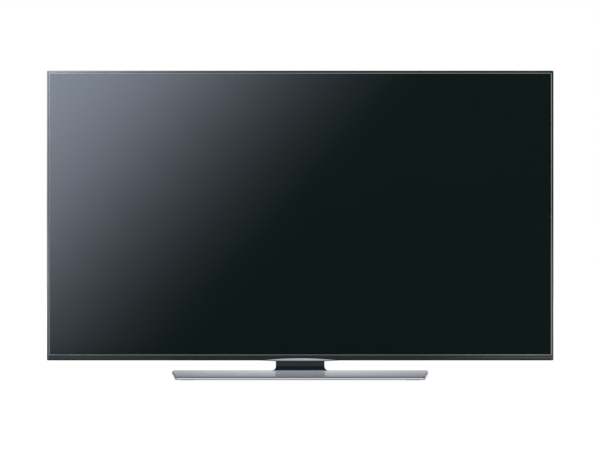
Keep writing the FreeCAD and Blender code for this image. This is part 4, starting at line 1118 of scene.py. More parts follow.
@dataclass(frozen=True)
class InletPlastic(Finish):
    """Black plastic with two plated blades."""

    dulling: Shares = (0.12,)
    centre_z: float = 155.5 * MM
    centre_y: float = 63.9 * MM
    spread: float = 8.0 * MM
    blade_half: float = 1.05 * MM
    blade_depth: float = 2.05 * MM
    plating: Colour = (0.72, 0.7, 0.66)
    polish: float = 0.15

    def surface(self, recipe: Recipe) -> dict[str, Feed]:
        """The blades' mask by their place.

        Args:
            recipe: The node tree to add to.

        Returns:
            What feeds each input.
        """
        _, y, z = recipe.point
        off = abs(abs(z - self.centre_z) - self.spread)
        blade = (off < self.blade_half) * (abs(y - self.centre_y) < self.blade_depth)
        grain = recipe.noise(scale=1600.0)
        return {
            "Base Color": recipe.mix(blade, self.colour, self.plating),
            "Metallic": blade,
            "Roughness": recipe.vary(self.roughness - blade * self.polish, self.dulling, grain),
        }


class Finishes(Enum):
    """The display's finishes."""

    BEZEL = BezelMetal("bezel_satin", "bezel_metal", (0.0165, 0.0183, 0.0192), 0.23, metallic=0.85)
    SCREEN = ScreenFace("screen_face", "screen_glass", (0.0022, 0.0066, 0.0061), 0.15,
                        specular=0.03)
    INNER = MouldedPlastic("inner_moulding", "inner_plastic", (0.022, 0.022, 0.024), 0.55)
    PANEL = MouldedPlastic("socket_plate", "inner_plastic", (0.03, 0.03, 0.033), 0.5,
                           grain=0.4 * MM)
    FILM = GlossPlastic("diffusing_film", "white_film", (0.86, 0.87, 0.85), 0.42)
    GUIDE = DottedAcrylic("dotted_acrylic", "clear_acrylic", (0.80, 0.86, 0.86), 0.12)
    STEEL = SheetSteel("zinc_sheet", "plain_steel", (0.56, 0.57, 0.59), 0.36, metallic=1.0)
    TURNED = TurnedMetal("turned_insert", "plain_steel", (0.58, 0.585, 0.60), 0.30, metallic=1.0)
    ALUMINIUM = RolledMetal("mill_aluminium", "plain_aluminium", (0.72, 0.73, 0.74), 0.38,
                            metallic=1.0, along=(1.0, 30.0, 30.0))
    LAMPS = LampBoard("lamp_strip", "white_board", (0.82, 0.83, 0.81), 0.45)
    COVER = MouldedPlastic("cover_moulding", "cover_plastic", (0.017, 0.018, 0.020), 0.5,
                           specular=0.35, grain=0.9 * MM, grain_depth=0.05 * MM)
    GRILLE = MouldedPlastic("grille_moulding", "grille_plastic", (0.014, 0.014, 0.016), 0.48,
                            grain=0.5 * MM)
    OXIDE = RolledMetal("black_oxide", "black_screw", (0.045, 0.045, 0.048), 0.34, metallic=0.9,
                        along=(20.0, 20.0, 20.0))
    POWDER = PowderCoat("black_powder_coat", "black_steel", (0.026, 0.026, 0.028), 0.5)
    POLISHED = PolishedRim("polished_edge", "polished_aluminium", (0.56, 0.58, 0.61), 0.14,
                           metallic=1.0, edge_tint=0.8)
    BRUSHED = BrushedMetal("brushed_plate", "brushed_aluminium", (0.62, 0.66, 0.72), 0.18,
                           metallic=0.45, specular=0.0, edge_tint=0.68)
    CARRIER = MouldedPlastic("carrier_moulding", "inner_plastic", (0.010, 0.011, 0.013), 0.6,
                             specular=0.15)
    RUBBER = MouldedPlastic("soft_rubber", "foot_rubber", (0.022, 0.022, 0.022), 0.8, sheen=0.1,
                            grain=1.2 * MM)
    GLOSS = NeckGloss("polished_neck", "gloss_black", (0.030, 0.033, 0.036), 0.07, specular=0.18)
    LENS = LensAcrylic("cool_lens", "lens_acrylic", (0.41, 0.485, 0.53), 0.16)
    BOARD = CircuitBoard("solder_mask", "circuit_board", (0.012, 0.075, 0.035), 0.38)
    PARTS = BoardParts("board_parts", "inner_plastic", (0.016, 0.016, 0.017), 0.42)
    CABLE = FlatCable("flat_cable", "white_board", (0.8, 0.81, 0.79), 0.45)
    SHELL = RolledMetal("plated_shell", "socket_metal", (0.66, 0.65, 0.63), 0.28, metallic=1.0)
    SOCKET = MouldedPlastic("socket_moulding", "socket_plastic", (0.016, 0.016, 0.017), 0.34,
                            grain=0.4 * MM, grain_depth=0.01 * MM)
    INLET = InletPlastic("inlet_moulding", "socket_plastic", (0.016, 0.016, 0.017), 0.34)
    GOLD = RolledMetal("gold_contact", "socket_metal", (0.78, 0.56, 0.22), 0.22, metallic=1.0)
    CONE = ConePaper("coated_cone", "cone_paper", (0.035, 0.035, 0.038), 0.7)
    KNOB = MouldedPlastic("soft_touch", "knob_plastic", (0.028, 0.028, 0.03), 0.62, sheen=0.15,
                          grain=0.5 * MM, grain_depth=0.015 * MM)


# Mesh helpers


class Shape:
    """Geometry that is put together from blocks, prisms, pipes and turned forms."""

    def __init__(self) -> None:
        """Starts with nothing."""
        self.work = bmesh.new()

    def block(self, low: Sequence[float], high: Sequence[float]) -> None:
        """Adds a block.

        Args:
            low: Its lowest corner.
            high: Its highest corner.
        """
        corners = [self.work.verts.new((x, y, z)) for x in (low[0], high[0])
                   for y in (low[1], high[1]) for z in (low[2], high[2])]
        for face in ((0, 1, 3, 2), (4, 6, 7, 5), (0, 4, 5, 1),
                     (2, 3, 7, 6), (0, 2, 6, 4), (1, 5, 7, 3)):
            self.work.faces.new([corners[i] for i in face])

    def ring(self, outline: Outline, axis: int, along: float) -> Corners:
        """Adds the corners of an outline in the plane across an axis.

        Args:
            outline: The two other coordinates, in the order of the axes.
            axis: 0, 1 or 2.
            along: Where the plane stands along the axis.

        Returns:
            The corners.
        """
        ring = []
        for pair in outline:
            place = list(pair)
            place.insert(axis, along)
            ring.append(self.work.verts.new(place))
        return ring

    def bridge(self, first: Corners, second: Corners) -> None:
        """Joins two closed rings of corners with faces.

        Args:
            first: The corners of one ring.
            second: Those of the other, as many and in the same order.
        """
        count = len(first)
        for i in range(count):
            j = (i + 1) % count
            self.work.faces.new((first[i], first[j], second[j], second[i]))

    def prism(self, outline: Outline, axis: int, start: float, end: float) -> None:
        """Adds an outline drawn out along an axis.

        Args:
            outline: The two other coordinates, in the order of the axes.
            axis: 0, 1 or 2.
            start: Where it starts along the axis.
            end: Where it ends.
        """
        first = self.ring(outline, axis, start)
        second = self.ring(outline, axis, end)
        self.bridge(first, second)
        self.work.faces.new(first)
        self.work.faces.new(second)

    def pipe(self, outer: Outline, inner: Outline, axis: int, start: float, end: float) -> None:
        """Adds a hollow form that is open at both ends.

        Args:
            outer: The outer outline.
            inner: The inner outline, with as many corners.
            axis: 0, 1 or 2.
            start: Where it starts along the axis.
            end: Where it ends.
        """
        rings = [self.ring(outer, axis, start), self.ring(outer, axis, end),
                 self.ring(inner, axis, end), self.ring(inner, axis, start)]
        for i, ring in enumerate(rings):
            self.bridge(ring, rings[(i + 1) % len(rings)])

    def turn(self, section: Outline, centre: Point, axis: int, steps: int) -> None:
        """Adds a closed section turned round an axis.

        Args:
            section: Radius and place along the axis, round the section.
            centre: A point on the axis, where the section's places are counted from.
            axis: 0, 1 or 2.
            steps: Faces in one turn.
        """
        others = [i for i in range(3) if i != axis]
        rings = []
        for step in range(steps):
            angle = 2 * math.pi * step / steps
            ring = []
            for radius, along in section:
                place = list(centre)
                place[axis] += along
                place[others[0]] += radius * math.cos(angle)
                place[others[1]] += radius * math.sin(angle)
                ring.append(self.work.verts.new(place))
            rings.append(ring)
        for i, ring in enumerate(rings):
            self.bridge(ring, rings[(i + 1) % steps])

    def mesh(self, name: str) -> bpy.types.Mesh:
        """Ends the work in a mesh whose faces look outwards.

        Args:
            name: The mesh's name.

        Returns:
            The mesh.
        """
        bmesh.ops.recalc_face_normals(self.work, faces=self.work.faces)
        mesh = bpy.data.meshes.new(name)
        self.work.to_mesh(mesh)
        self.work.free()
        mesh.shade_smooth()
        mesh.set_sharp_from_angle(angle=SHARP)
        return mesh


def rounded(low: Pair, high: Pair, radius: float,
            steps: int = 4) -> list[Pair]:
    """The outline of a rectangle with rounded corners.

    Args:
        low: Its lowest corner.
        high: Its highest corner.
        radius: The corners' radius.
        steps: Edges in each corner.

    Returns:
        The outline's points.
    """
    points = []
    centres = ((high[0] - radius, high[1] - radius), (low[0] + radius, high[1] - radius),
               (low[0] + radius, low[1] + radius), (high[0] - radius, low[1] + radius))
    for corner, (a, b) in enumerate(centres):
        for step in range(steps + 1):
            angle = (corner + step / steps) * math.pi / 2
            points.append((a + radius * math.cos(angle), b + radius * math.sin(angle)))
    return points


def grown(low: Sequence[float], high: Sequence[float], by: float) -> tuple[tuple, tuple]:
    """A rectangle's two corners, moved outwards by a length, or inwards by a negative one."""
    return tuple(edge - by for edge in low), tuple(edge + by for edge in high)


def middle(node: str) -> Point:
    """The middle of a node's box."""
    return tuple((low + high) / 2 for low, high in zip(*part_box(node)))


# Sub-assemblies


@dataclass(frozen=True)
class RoundedCopy:
    """A copy with rounded edges that stands for a node: how far they reach, and in what steps."""

    node: str
    name: str
    finish: Finishes
    edge: float
    steps: int = 2
    body: str = BODY


Copies = tuple[RoundedCopy, ...]
Dressed = tuple[tuple[Finishes, tuple[str, ...]], ...]


@dataclass
class Assembly:
    """What every sub-assembly shares: its frame, its pieces and the ways to add to them."""

    frame: dict
    pieces: dict[str, Object] = field(default_factory=dict, init=False)
    copies: Copies = ()
    dressed: Dressed = ()

    def build(self) -> dict[str, Object]:
        """Makes the rounded copies, dresses the other nodes and adds what no node has.

        Returns:
            The new pieces by name.
        """
        for copy in self.copies:
            self.refine(copy)
        for finish, nodes in self.dressed:
            self.dress(finish, nodes)
        self.add_own()
        return self.pieces

    def add_own(self) -> None:
        """Adds the pieces that no node has; there are none unless a sub-assembly says so."""

    def add(self, name: str, shape: Shape, finish: Finishes, body: str = BODY, edge: float = 0.0,
            steps: int = 2) -> Object:
        """Adds a piece, and rounds its sharp edges if they have a width.

        Args:
            name: The piece's name.
            shape: Its shape, in place.
            finish: Its finish.
            body: The body that it rides on.
            edge: How far the rounding reaches, in metres.
            steps: Faces across the rounding.

        Returns:
            The piece.
        """
        piece = bpy.data.objects.new(name, shape.mesh(name))
        bpy.context.scene.collection.objects.link(piece)
        piece.data.materials.append(finish.value.make())
        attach(piece, body)
        if edge:
            self.soften(piece, edge, steps)
        self.pieces[name] = piece
        log.info("%s rides on %s in %s", name, body, finish.value.name)
        return piece

    @staticmethod
    def soften(piece: Object, width: float, steps: int) -> None:
        """Rounds a piece's sharp edges, and keeps its flat faces flat to the light.

        Args:
            piece: The piece.
            width: How far the rounding reaches, in metres.
            steps: Faces across the rounding.
        """
        bevel = piece.modifiers.new("rounded_edges", "BEVEL")
        bevel.width = width
        bevel.segments = steps
        bevel.limit_method = "ANGLE"
        bevel.angle_limit = SHARP
        bevel.miter_outer = "MITER_ARC"
        shading = piece.modifiers.new("flat_faces", "WEIGHTED_NORMAL")
        shading.weight = 100

    def dress(self, finish: Finishes, nodes: Sequence[str]) -> None:
        """Gives carried-over nodes a finish.

        Args:
            finish: The finish.
            nodes: The nodes' names.
        """
        for node in nodes:
            for slot in self.frame["nodes"][node].material_slots:
                slot.material = finish.value.make()
            log.info("%s is finished in %s", node, finish.value.name)

    def refine(self, copy: RoundedCopy) -> None:
        """Puts a copy with rounded edges in a node's place.

        Args:
            copy: The copy and the node that it stands for.
        """
        shape = Shape()
        shape.work.from_mesh(self.frame["nodes"][copy.node].data)
        bmesh.ops.remove_doubles(shape.work, verts=shape.work.verts, dist=0.001 * MM)
        piece = self.add(copy.name, shape, copy.finish, copy.body, copy.edge, copy.steps)
        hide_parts(copy.node)


@dataclass
class PictureFrame(Assembly):
    """The four mitred bars round the picture and the keys that join them."""

    copies: Copies = tuple(
        RoundedCopy(f"bezel_{side}", f"frame_bar_{side}", Finishes.BEZEL, 0.25 * MM)
        for side in ("bottom", "right", "top", "left"))
    dressed: Dressed = (
        (Finishes.STEEL, ("bezel_corner_keys",)),)


@dataclass
class Panel(Assembly):
    """The glass, its front film, the light layers and the steel back."""

    dressed: Dressed = (
        (Finishes.SCREEN, ("lcd_glass",)),
        (Finishes.INNER, ("mid_frame",)),
        (Finishes.FILM, ("optical_sheets", "reflector_sheet")),
        (Finishes.GUIDE, ("light_guide",)),
        (Finishes.STEEL, ("rear_chassis",)),
        (Finishes.ALUMINIUM, ("led_heat_bar",)),
        (Finishes.LAMPS, ("led_strips",)))
    film_inset: float = 0.7 * MM
    film_thickness: float = 0.2 * MM
    film_edge: float = 0.06 * MM

    def add_own(self) -> None:
        """Adds the film on the glass."""
        inset = Vector((self.film_inset, 0.0, self.film_inset))
        low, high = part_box("lcd_glass")
        film = Shape()
        film.block(Vector((low.x, low.y - self.film_thickness, low.z)) + inset,
                   Vector((high.x, low.y, high.z)) - inset)
        self.add("front_film", film, Finishes.SCREEN, edge=self.film_edge)


@dataclass(frozen=True)
class Bay:
    """The mouth of a hollow in the rear cover, by its lowest and highest corner in X and Z."""

    low: Pair
    high: Pair


class Bays(Enum):
    """The three bays that hold the sockets."""

    SIDE = Bay((360.0 * MM, 150.5 * MM), (440.0 * MM, 360.5 * MM))
    LOWER = Bay((224.0 * MM, 113.5 * MM), (346.0 * MM, 173.5 * MM))
    POWER = Bay((-435.0 * MM, 125.5 * MM), (-360.0 * MM, 185.5 * MM))


@dataclass
class Back(Assembly):
    """The rear cover with its screws, grilles and wall mount."""

    dressed: Dressed = (
        (Finishes.COVER, ("rear_cover",)),
        (Finishes.GRILLE, ("top_vent_grille", "woofer_grilles")),
        (Finishes.OXIDE, ("rear_cover_screws",)),
        (Finishes.TURNED, ("wall_mount_rails",)))
    lip_width: float = 2.2 * MM
    lip_sink: float = 2.0 * MM
    lip_proud: float = 0.6 * MM
    lip_inset: float = 0.15 * MM
    lip_edge: float = 0.4 * MM
    lip_corner: float = 2.4 * MM
    mount_x: float = 200.0 * MM
    mount_radius: float = 4.0 * MM
    mount_depth: float = 9.0 * MM
    thread_pitch: float = 1.25 * MM
    thread_depth: float = 0.55 * MM
    thread_root: float = 0.1 * MM
    thread_faces: int = 36

    def add_own(self) -> None:
        """Adds the lips of the bays and the threads of the mount points."""
        self.add_bay_lips()
        self.add_mount_threads()

    def add_bay_lips(self) -> None:
        """Adds a rounded lip round the mouth of each bay."""
        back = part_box("rear_cover")[1].y
        lips = Shape()
        for bay in Bays:
            inner = rounded(*grown(bay.value.low, bay.value.high, -self.lip_inset), self.lip_edge)
            outer = rounded(*grown(bay.value.low, bay.value.high, self.lip_width), self.lip_corner)
            lips.pipe(outer, inner, 1, back - self.lip_sink, back + self.lip_proud)
        self.add("bay_lips", lips, Finishes.COVER, edge=self.lip_edge, steps=3)

    def add_mount_threads(self) -> None:
        """Adds the threads inside the four wall-mount inserts."""
        centre_z = middle("wall_mount_rails")[2]
        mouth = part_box("wall_mount_rails")[1].y
        radius, root = self.mount_radius, self.mount_radius + self.thread_root
        section = [(root, -self.mount_depth)]
        for turn in range(int(self.mount_depth / self.thread_pitch)):
            start = -self.mount_depth + self.thread_pitch * turn
            section += [(radius - self.thread_depth, start + self.thread_pitch * 0.5),
                        (radius, start + self.thread_pitch)]
        section.append((root, 0.0))
        threads = Shape()
        for x in (-self.mount_x, self.mount_x):
            for z in (centre_z - self.mount_x, centre_z + self.mount_x):
                threads.turn(section, (x, mouth, z), 1, self.thread_faces)
        self.add("mount_threads", threads, Finishes.TURNED)


@dataclass
class Stand(Assembly):
    """The base plate, its edge and feet, and the neck that carries the display."""

    copies: Copies = (
        RoundedCopy("base_top_skin", "brushed_skin", Finishes.BRUSHED, 0.12 * MM),
        RoundedCopy("base_rim", "polished_rim", Finishes.POLISHED, 0.15 * MM),
        RoundedCopy("base_carrier", "dark_carrier", Finishes.CARRIER, 0.15 * MM),
        RoundedCopy("neck_front_cover", "gloss_neck", Finishes.GLOSS, 0.3 * MM, 3),
        RoundedCopy("neck_rear_cover", "neck_back", Finishes.COVER, 0.4 * MM),
        RoundedCopy("heel_cover", "heel_shell", Finishes.COVER, 0.6 * MM, 3),
        RoundedCopy("rubber_feet", "foot_pads", Finishes.RUBBER, 0.2 * MM))
    dressed: Dressed = (
        (Finishes.POWDER, ("base_core_plate", "neck_bracket")),
        (Finishes.STEEL, ("stand_seat",)),
        (Finishes.OXIDE, ("stand_screws",)))


@dataclass
class SensorLens(Assembly):
    """The clear leaf under the frame and the receiver behind it."""

    copies: Copies = (
        RoundedCopy("sensor_lens", "clear_leaf", Finishes.LENS, 0.12 * MM),)
    dressed: Dressed = (
        (Finishes.INNER, ("sensor_pod",)),
        (Finishes.BOARD, ("receiver_board",)))


@dataclass
class Electronics(Assembly):
    """The boards, their parts and the cables between them."""

    dressed: Dressed = (
        (Finishes.BOARD, ("main_board", "power_board", "timing_board", "stick_board",
                          "source_boards")),
        (Finishes.STEEL, ("board_standoffs", "board_screws")),
        (Finishes.ALUMINIUM, ("timing_board_shield",)),
        (Finishes.PARTS, ("board_parts",)),
        (Finishes.CABLE, ("ribbon_cables",)))


@dataclass(frozen=True)
class SocketRow:
    """The sizes of a row of like sockets, whose mouths face +X."""

    node: str
    name: str
    count: int
    width: float
    pitch: float
    wall: float = 0.5 * MM
    corner: float = 1.2 * MM
    least_corner: float = 0.2 * MM
    slant: float = 0.0
    slant_share: float = 0.45
    tongue: float = 9.0 * MM
    tongue_half: float = 0.55 * MM
    contacts: int = 9
    contact_pitch: float = 1.0 * MM
    contact_half: float = 0.22 * MM

    def outline(self, centre: float, inset: float) -> list[Pair]:
        """A shell's outline in Y and Z, whose two front corners slant where the row's do.

        Args:
            centre: The shell's middle in Z.
            inset: How far the outline is moved inwards.

        Returns:
            The outline's points.
        """
        front, back = (corner.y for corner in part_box(self.node))
        half = self.width / 2 - inset
        slanted = []
        for y, z in rounded((front + inset, centre - half), (back - inset, centre + half),
                            max(self.corner - inset, self.least_corner)):
            near = max(0.0, 1.0 - (y - front) / ((back - front) * self.slant_share))
            slanted.append((y, z - math.copysign(self.slant * near, z - centre)))
        return slanted


class SocketRows(Enum):
    """The two rows of sockets in the side bay."""

    WIDE = SocketRow("hdmi_sockets", "wide_socket", 4, 15.0 * MM, 23.0 * MM, slant=1.7 * MM)
    FLAT = SocketRow("usb_sockets", "flat_socket", 3, 14.0 * MM, 22.0 * MM, corner=0.9 * MM,
                     tongue=10.0 * MM, tongue_half=0.9 * MM, contacts=4, contact_pitch=2.3 * MM,
                     contact_half=0.5 * MM)


@dataclass
class Terminals(Assembly):
    """The sockets on the back, with their rims, tongues and contacts."""

    copies: Copies = (
        RoundedCopy("socket_panels", "socket_plates", Finishes.PANEL, 0.15 * MM),)
    dressed: Dressed = (
        (Finishes.SOCKET, ("network_socket", "optical_socket", "audio_jack")),
        (Finishes.SHELL, ("antenna_socket",)),
        (Finishes.INLET, ("power_inlet",)))
    panel_proud: float = 0.6 * MM
    flange: float = 0.55 * MM
    hollow: float = 10.0 * MM
    mouth_gap: float = 1.8 * MM
    shell_edge: float = 0.08 * MM
    tongue_edge: float = 0.15 * MM
    contact_edge: float = 0.03 * MM
    contact_lift: float = 0.1 * MM
    contact_inset: float = 0.5 * MM
    contact_length: float = 6.5 * MM
    wire_count: int = 8
    wire_pitch: float = 1.05 * MM
    wire_half: float = 0.2 * MM
    wire_thick: float = 0.25 * MM
    wire_lift: float = 2.6 * MM
    wire_near: float = 2.4 * MM
    wire_far: float = 12.0 * MM
    wire_reach: float = 3.6 * MM
    wire_tip: float = 4.0 * MM
    shutter_half: float = 3.6 * MM
    shutter_sink: float = 1.0 * MM
    shutter_thick: float = 0.8 * MM
    shutter_middle: float = 5.2 * MM
    shutter_edge: float = 0.12 * MM
    cross_long: float = 2.88 * MM
    cross_short: float = 0.504 * MM
    cross_proud: float = 0.32 * MM
    bush_outer: float = 3.4 * MM
    bush_inner: float = 1.85 * MM
    bush_proud: float = 0.4 * MM
    bush_lip: float = 0.16 * MM
    bush_edge: float = 0.06 * MM
    stem_x: float = 326.0 * MM
    stem_radius: float = 4.7 * MM
    stem_lift: float = 6.8 * MM
    thread_rise: float = 0.42 * MM
    thread_pitch: float = 0.95 * MM
    thread_count: int = 11
    round_faces: int = 40
    inlet_lip: float = 1.1 * MM
    inlet_overlap: float = 0.33 * MM
    inlet_corner: float = 0.66 * MM
    inlet_proud: float = 0.55 * MM
    inlet_edge: float = 0.15 * MM

    def add_own(self) -> None:
        """Adds what is in and round the sockets."""
        for row in SocketRows:
            self.add_row(row.value)
        self.add_network_wires()
        self.add_optical_shutter()
        self.add_jack_bush()
        self.add_antenna_thread()
        self.add_inlet_lip()

    def add_row(self, row: SocketRow) -> None:
        """Puts folded shells, tongues and contacts in place of a row of plain sockets.

        Args:
            row: The row's sizes.
        """
        low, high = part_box(row.node)
        shells, tongues, contacts = Shape(), Shape(), Shape()
        middle_y = middle(row.node)[1]
        floor, face, end = high.x - self.hollow, high.x - self.panel_proud, high.x - self.mouth_gap
        tip = end - self.contact_inset
        for index in range(row.count):
            centre = high.z - row.width / 2 - row.pitch * index
            inner = row.outline(centre, row.wall)
            shells.pipe(row.outline(centre, 0.0), inner, 0, low.x, face)
            shells.pipe(row.outline(centre, -self.flange), inner, 0, face, high.x)
            shells.prism(inner, 0, floor - row.wall, floor)
            tongues.block((floor, middle_y - row.tongue_half, centre - row.tongue / 2),
                          (end, middle_y + row.tongue_half, centre + row.tongue / 2))
            first = centre - row.contact_pitch * (row.contacts - 1) / 2
            for number in range(row.contacts):
                z = first + row.contact_pitch * number
                for side in (-1, 1):
                    flat = middle_y + side * row.tongue_half
                    under, over = sorted((flat, flat + side * self.contact_lift))
                    contacts.block((tip - self.contact_length, under, z - row.contact_half),
                                   (tip, over, z + row.contact_half))
        piece = self.add(f"{row.name}_shells", shells, Finishes.SHELL, edge=self.shell_edge)
        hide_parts(row.node)
        self.add(f"{row.name}_tongues", tongues, Finishes.SOCKET, edge=self.tongue_edge)
        self.add(f"{row.name}_contacts", contacts, Finishes.GOLD, edge=self.contact_edge, steps=1)

    def add_network_wires(self) -> None:
        """Adds the eight bent contact wires in the network socket's mouth."""
        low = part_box("network_socket")[0]
        front, near, far = low.y + self.wire_lift, low.z + self.wire_near, low.z + self.wire_far
        thick = self.wire_thick
        outline = [(front, far), (front, far - thick), (front + self.wire_reach, near),
                   (front + self.wire_tip, near + thick), (front + thick, far)]
        wires = Shape()
        for index in range(self.wire_count):
            x = middle("network_socket")[0] + self.wire_pitch * (index - (self.wire_count - 1) / 2)
            wires.prism(outline, 0, x - self.wire_half, x + self.wire_half)
        self.add("network_wires", wires, Finishes.GOLD)

    def add_optical_shutter(self) -> None:
        """Adds the hinged shutter, with its raised cross, inside the optical socket's mouth."""
        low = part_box("optical_socket")[0]
        x = middle("optical_socket")[0]
        y, z = low.y + self.shutter_middle, low.z + self.shutter_sink
        half, long, short = self.shutter_half, self.cross_long, self.cross_short
        plate = Shape()
        plate.block((x - half, y - half, z), (x + half, y + half, z + self.shutter_thick))
        for wide, deep in ((long, short), (short, long)):
            plate.block((x - wide, y - deep, z - self.cross_proud), (x + wide, y + deep, z))
        self.add("optical_shutter", plate, Finishes.SOCKET, edge=self.shutter_edge)

    def add_jack_bush(self) -> None:
        """Adds the plated bush round the sound socket's bore."""
        x, y, _ = middle("audio_jack")
        outer, inner, proud, lip = self.bush_outer, self.bush_inner, self.bush_proud, self.bush_lip
        bush = Shape()
        bush.turn([(inner, proud), (inner, -lip), (inner + proud, -proud),
                   (outer - proud, -proud), (outer, -lip), (outer, proud)],
                  (x, y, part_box("audio_jack")[0].z), 2, self.round_faces)
        self.add("sound_socket_bush", bush, Finishes.SHELL, edge=self.bush_edge)

    def add_antenna_thread(self) -> None:
        """Adds the thread on the aerial socket's stem."""
        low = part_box("antenna_socket")[0]
        radius, rise, pitch = self.stem_radius, self.thread_rise, self.thread_pitch
        section = [(radius - rise, pitch)]
        for index in range(self.thread_count):
            start = pitch * (index + 1)
            section += [(radius, start), (radius + rise, start + pitch * 0.5)]
        end = pitch * (self.thread_count + 1)
        thread = Shape()
        thread.turn([*section, (radius, end), (radius - rise, end)],
                    (self.stem_x, low.y + self.stem_lift, low.z), 2, self.round_faces)
        self.add("aerial_thread", thread, Finishes.SHELL)

    def add_inlet_lip(self) -> None:
        """Adds the raised lip round the mouth of the power inlet."""
        low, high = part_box("power_inlet")
        outer = rounded(*grown(low.yz, high.yz, self.inlet_overlap), self.inlet_lip)
        inner = rounded(*grown(low.yz, high.yz, -self.inlet_lip), self.inlet_corner)
        lip = Shape()
        lip.pipe(outer, inner, 0, low.x - self.inlet_proud, low.x + self.inlet_overlap)
        self.add("inlet_lip", lip, Finishes.SOCKET, edge=self.inlet_edge)


@dataclass
class Loudspeakers(Assembly):
    """Two long speakers that face down and two round ones that face back."""

    dressed: Dressed = (
        (Finishes.INNER, ("speaker_boxes",)),
        (Finishes.POWDER, ("speaker_magnets",)),
        (Finishes.CONE, ("speaker_cone_left", "speaker_cone_right", "woofer_cone_left",
                         "woofer_cone_right")))


@dataclass
class ControlStick(Assembly):
    """The stick that tilts both ways and is pressed."""

    copies: Copies = (
        RoundedCopy("control_knob", "stick_cap", Finishes.KNOB, 0.5 * MM, 3, "stick_knob"),)
    dressed: Dressed = (
        (Finishes.INNER, ("stick_housing", "stick_gimbal", "stick_sleeve")),)
    rib_count: int = 36
    rib_half: float = 0.35 * MM
    rib_rise: float = 0.5 * MM
    rib_start: float = 5.6 * MM
    rib_end: float = 0.9 * MM
    rib_edge: float = 0.1 * MM
    rib_top: float = 0.4

    def add_own(self) -> None:
        """Adds the fine ribs round the cap's edge."""
        low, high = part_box("control_knob")
        x, _, z = middle("control_knob")
        radius = (high.x - low.x) / 2
        root, top = radius - self.rib_rise, radius + self.rib_rise * self.rib_top
        ribs = Shape()
        for index in range(self.rib_count):
            angle = 2 * math.pi * index / self.rib_count
            across, up = math.cos(angle), math.sin(angle)
            outline = []
            for reach, side in ((root, -1), (top, -self.rib_top), (top, self.rib_top), (root, 1)):
                aside = side * self.rib_half
                outline.append((x + reach * across - aside * up, z + reach * up + aside * across))
            ribs.prism(outline, 1, high.y - self.rib_start, high.y - self.rib_end)
        self.add("cap_ribs", ribs, Finishes.KNOB, "stick_knob", self.rib_edge)


# Studio


@dataclass(frozen=True)
class Lamp:
    """A soft rectangular light: its power in watts, its turn in its own plane, and its fade.

    The fade gives the share of the power at places across it from 0 to 1, as through graded
    cloth. A lamp that fades lights chosen pieces alone, and only shows in their gloss.
    """

    name: str
    place: Point
    target: Point
    size: Pair
    power: float
    colour: Colour = (1.0, 1.0, 1.0)
    turn: float = 0.0
    fade: Outline = ()


class Lamps(Enum):
    """The studio's lights."""

    KEY = Lamp("key_light", (-2.6, -3.4, 2.9), (0.0, 0.0, 0.35), (2.6, 2.0), 88.0)
    FILL = Lamp("fill_light", (3.2, -2.8, 1.8), (0.0, 0.0, 0.35), (2.4, 2.0), 34.0)
    BACK = Lamp("back_light", (1.6, 3.6, 2.8), (0.0, 0.05, 0.35), (3.0, 2.0), 100.0)
    SCREEN = Lamp("screen_light", (-0.473, -0.6, 0.857), (-0.473, 0.0, 0.857), (1.266, 3.4),
                  1964.0, (0.80, 0.83, 1.0), math.radians(-42.0),
                  ((0.0, 1.0), (0.35, 0.90), (0.45, 0.78), (0.55, 0.60), (0.65, 0.385),
                   (0.75, 0.185), (0.85, 0.07), (0.95, 0.014), (1.0, 0.0)))
    FRAME = Lamp("frame_light", SCREEN.place, SCREEN.target, SCREEN.size,
                 400.0, (0.90, 0.945, 1.0), SCREEN.turn,
                 ((0.0, 1.0), (0.38, 0.94), (0.44, 0.76), (0.49, 0.58), (0.54, 0.45), (0.60, 0.27),
                  (0.66, 0.17), (0.72, 0.10), (0.78, 0.04), (0.86, 0.01), (1.0, 0.0)))


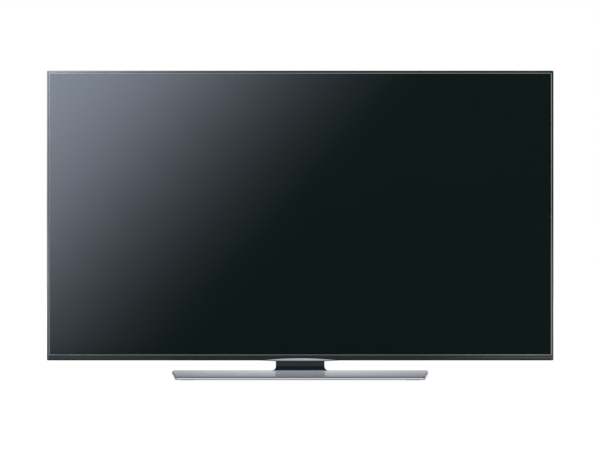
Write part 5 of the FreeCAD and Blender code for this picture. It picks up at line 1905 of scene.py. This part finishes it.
@dataclass
class Studio:
    """The pale floor, the soft lights and the camera."""

    floor_half: float = 60.0
    floor_matt: float = 0.8
    floor_faint: float = 0.3
    floor_glow: float = 0.82
    daylight: float = 0.62
    camera_place: Point = (0.0, -5.010, 0.3847)
    lens: float = 125.06
    sensor: float = 36.0
    shift_x: float = -0.0003
    shift_y: float = -0.0157
    far: float = 200.0

    def build(self, screen: Sequence[Object], bars: Sequence[Object]) -> None:
        """Sets up everything round the display.

        Args:
            screen: The pieces that the screen's own light falls on.
            bars: The frame's bars that a second one falls on.
        """
        self.add_camera()
        self.add_world()
        self.add_floor()
        chosen = {Lamps.SCREEN: screen, Lamps.FRAME: bars}
        for lamp in Lamps:
            self.add_light(lamp.value, chosen.get(lamp, ()))

    def add_camera(self) -> None:
        """Stands the camera where the photograph was taken from."""
        data = bpy.data.cameras.new("camera")
        data.lens = self.lens
        data.sensor_width = self.sensor
        data.shift_x = self.shift_x
        data.shift_y = self.shift_y
        data.clip_end = self.far
        camera = bpy.data.objects.new("camera", data)
        camera.location = self.camera_place
        camera.rotation_euler = (math.pi / 2, 0.0, 0.0)
        bpy.context.scene.collection.objects.link(camera)
        bpy.context.scene.camera = camera

    def add_world(self) -> None:
        """White where the camera, metal and glass see it, and plain daylight for the rest."""
        world = bpy.data.worlds.new("studio")
        bpy.context.scene.world = world
        recipe = Recipe(world)
        strength = recipe.node("ShaderNodeMapRange", {}, {
            "Value": recipe.seen, "To Min": self.daylight, "To Max": 1.0})
        sky = recipe.node("ShaderNodeBackground", {}, {
            "Color": (1.0, 1.0, 1.0), "Strength": strength.outputs[0]})
        recipe.end("World", sky.outputs[0])

    def add_floor(self) -> None:
        """Lays a wide pale floor that shows white and keeps the shadow."""
        shape = Shape()
        bmesh.ops.create_grid(shape.work, x_segments=1, y_segments=1, size=self.floor_half)
        floor = bpy.data.objects.new("floor", shape.mesh("floor"))
        material = bpy.data.materials.new("floor_white")
        recipe = Recipe(material)
        matt, faint = (recipe.node("ShaderNodeBsdfDiffuse", {}, {"Color": (grey,) * 3})
                       for grey in (self.floor_matt, self.floor_faint))
        glow = recipe.node("ShaderNodeEmission", {}, {
            "Color": (1.0, 1.0, 1.0), "Strength": self.floor_glow})
        both = recipe.node("ShaderNodeAddShader", {}, {0: faint.outputs[0], 1: glow.outputs[0]})
        shown = recipe.node("ShaderNodeMixShader", {}, {
            0: recipe.seen, 1: matt.outputs[0], 2: both.outputs[0]})
        recipe.end("Material", shown.outputs[0])
        floor.data.materials.append(material)
        bpy.context.scene.collection.objects.link(floor)

    def add_light(self, lamp: Lamp, pieces: Sequence[Object]) -> None:
        """Adds a light.

        Args:
            lamp: What it is and where it stands.
            pieces: The pieces that it falls on, or none where it falls on all.
        """
        data = bpy.data.lights.new(lamp.name, "AREA")
        data.shape = "RECTANGLE"
        data.size, data.size_y = lamp.size
        data.energy = lamp.power
        data.color = lamp.colour
        light = bpy.data.objects.new(lamp.name, data)
        light.location = lamp.place
        aim = (Vector(lamp.target) - Vector(lamp.place)).to_track_quat("-Z", "Y").to_matrix()
        light.rotation_euler = (aim.to_4x4() @ Matrix.Rotation(lamp.turn, 4, "Z")).to_euler()
        bpy.context.scene.collection.objects.link(light)
        log.info("%s gives %.0f W", lamp.name, lamp.power)
        if lamp.fade:
            self.fade(data, lamp.fade)
            light.visible_diffuse = False
            light.light_linking.receiver_collection = bpy.data.collections.new(lamp.name)
            for piece in pieces:
                light.light_linking.receiver_collection.objects.link(piece)

    @staticmethod
    def fade(light: bpy.types.Light, stops: Outline) -> None:
        """Lets a light fade from one side to the other.

        Args:
            light: The light.
            stops: Places across the light from 0 to 1, each with its share of the power.
        """
        recipe = Recipe(light)
        place = recipe.split(recipe.node("ShaderNodeNewGeometry").outputs["Parametric"])
        ramp = recipe.node("ShaderNodeValToRGB", {"stops": stops}, {0: place[0]})
        glow = recipe.node("ShaderNodeEmission", {}, {"Strength": ramp.outputs[0]})
        recipe.end("Light", glow.outputs[0])


def main() -> None:
    """Builds the display and its studio."""
    logging.basicConfig(level=logging.INFO, format="%(message)s")
    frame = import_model()
    bpy.context.scene.view_settings.view_transform = "Standard"

    pieces = {}
    for kind in (PictureFrame, Panel, Back, Stand, SensorLens, Electronics, Terminals,
                 Loudspeakers, ControlStick):
        pieces |= kind(frame).build()
    Studio().build([pieces["front_film"], frame["nodes"]["lcd_glass"]],
                   [pieces["frame_bar_top"], pieces["frame_bar_left"]])


if __name__ == "__main__":
    main()
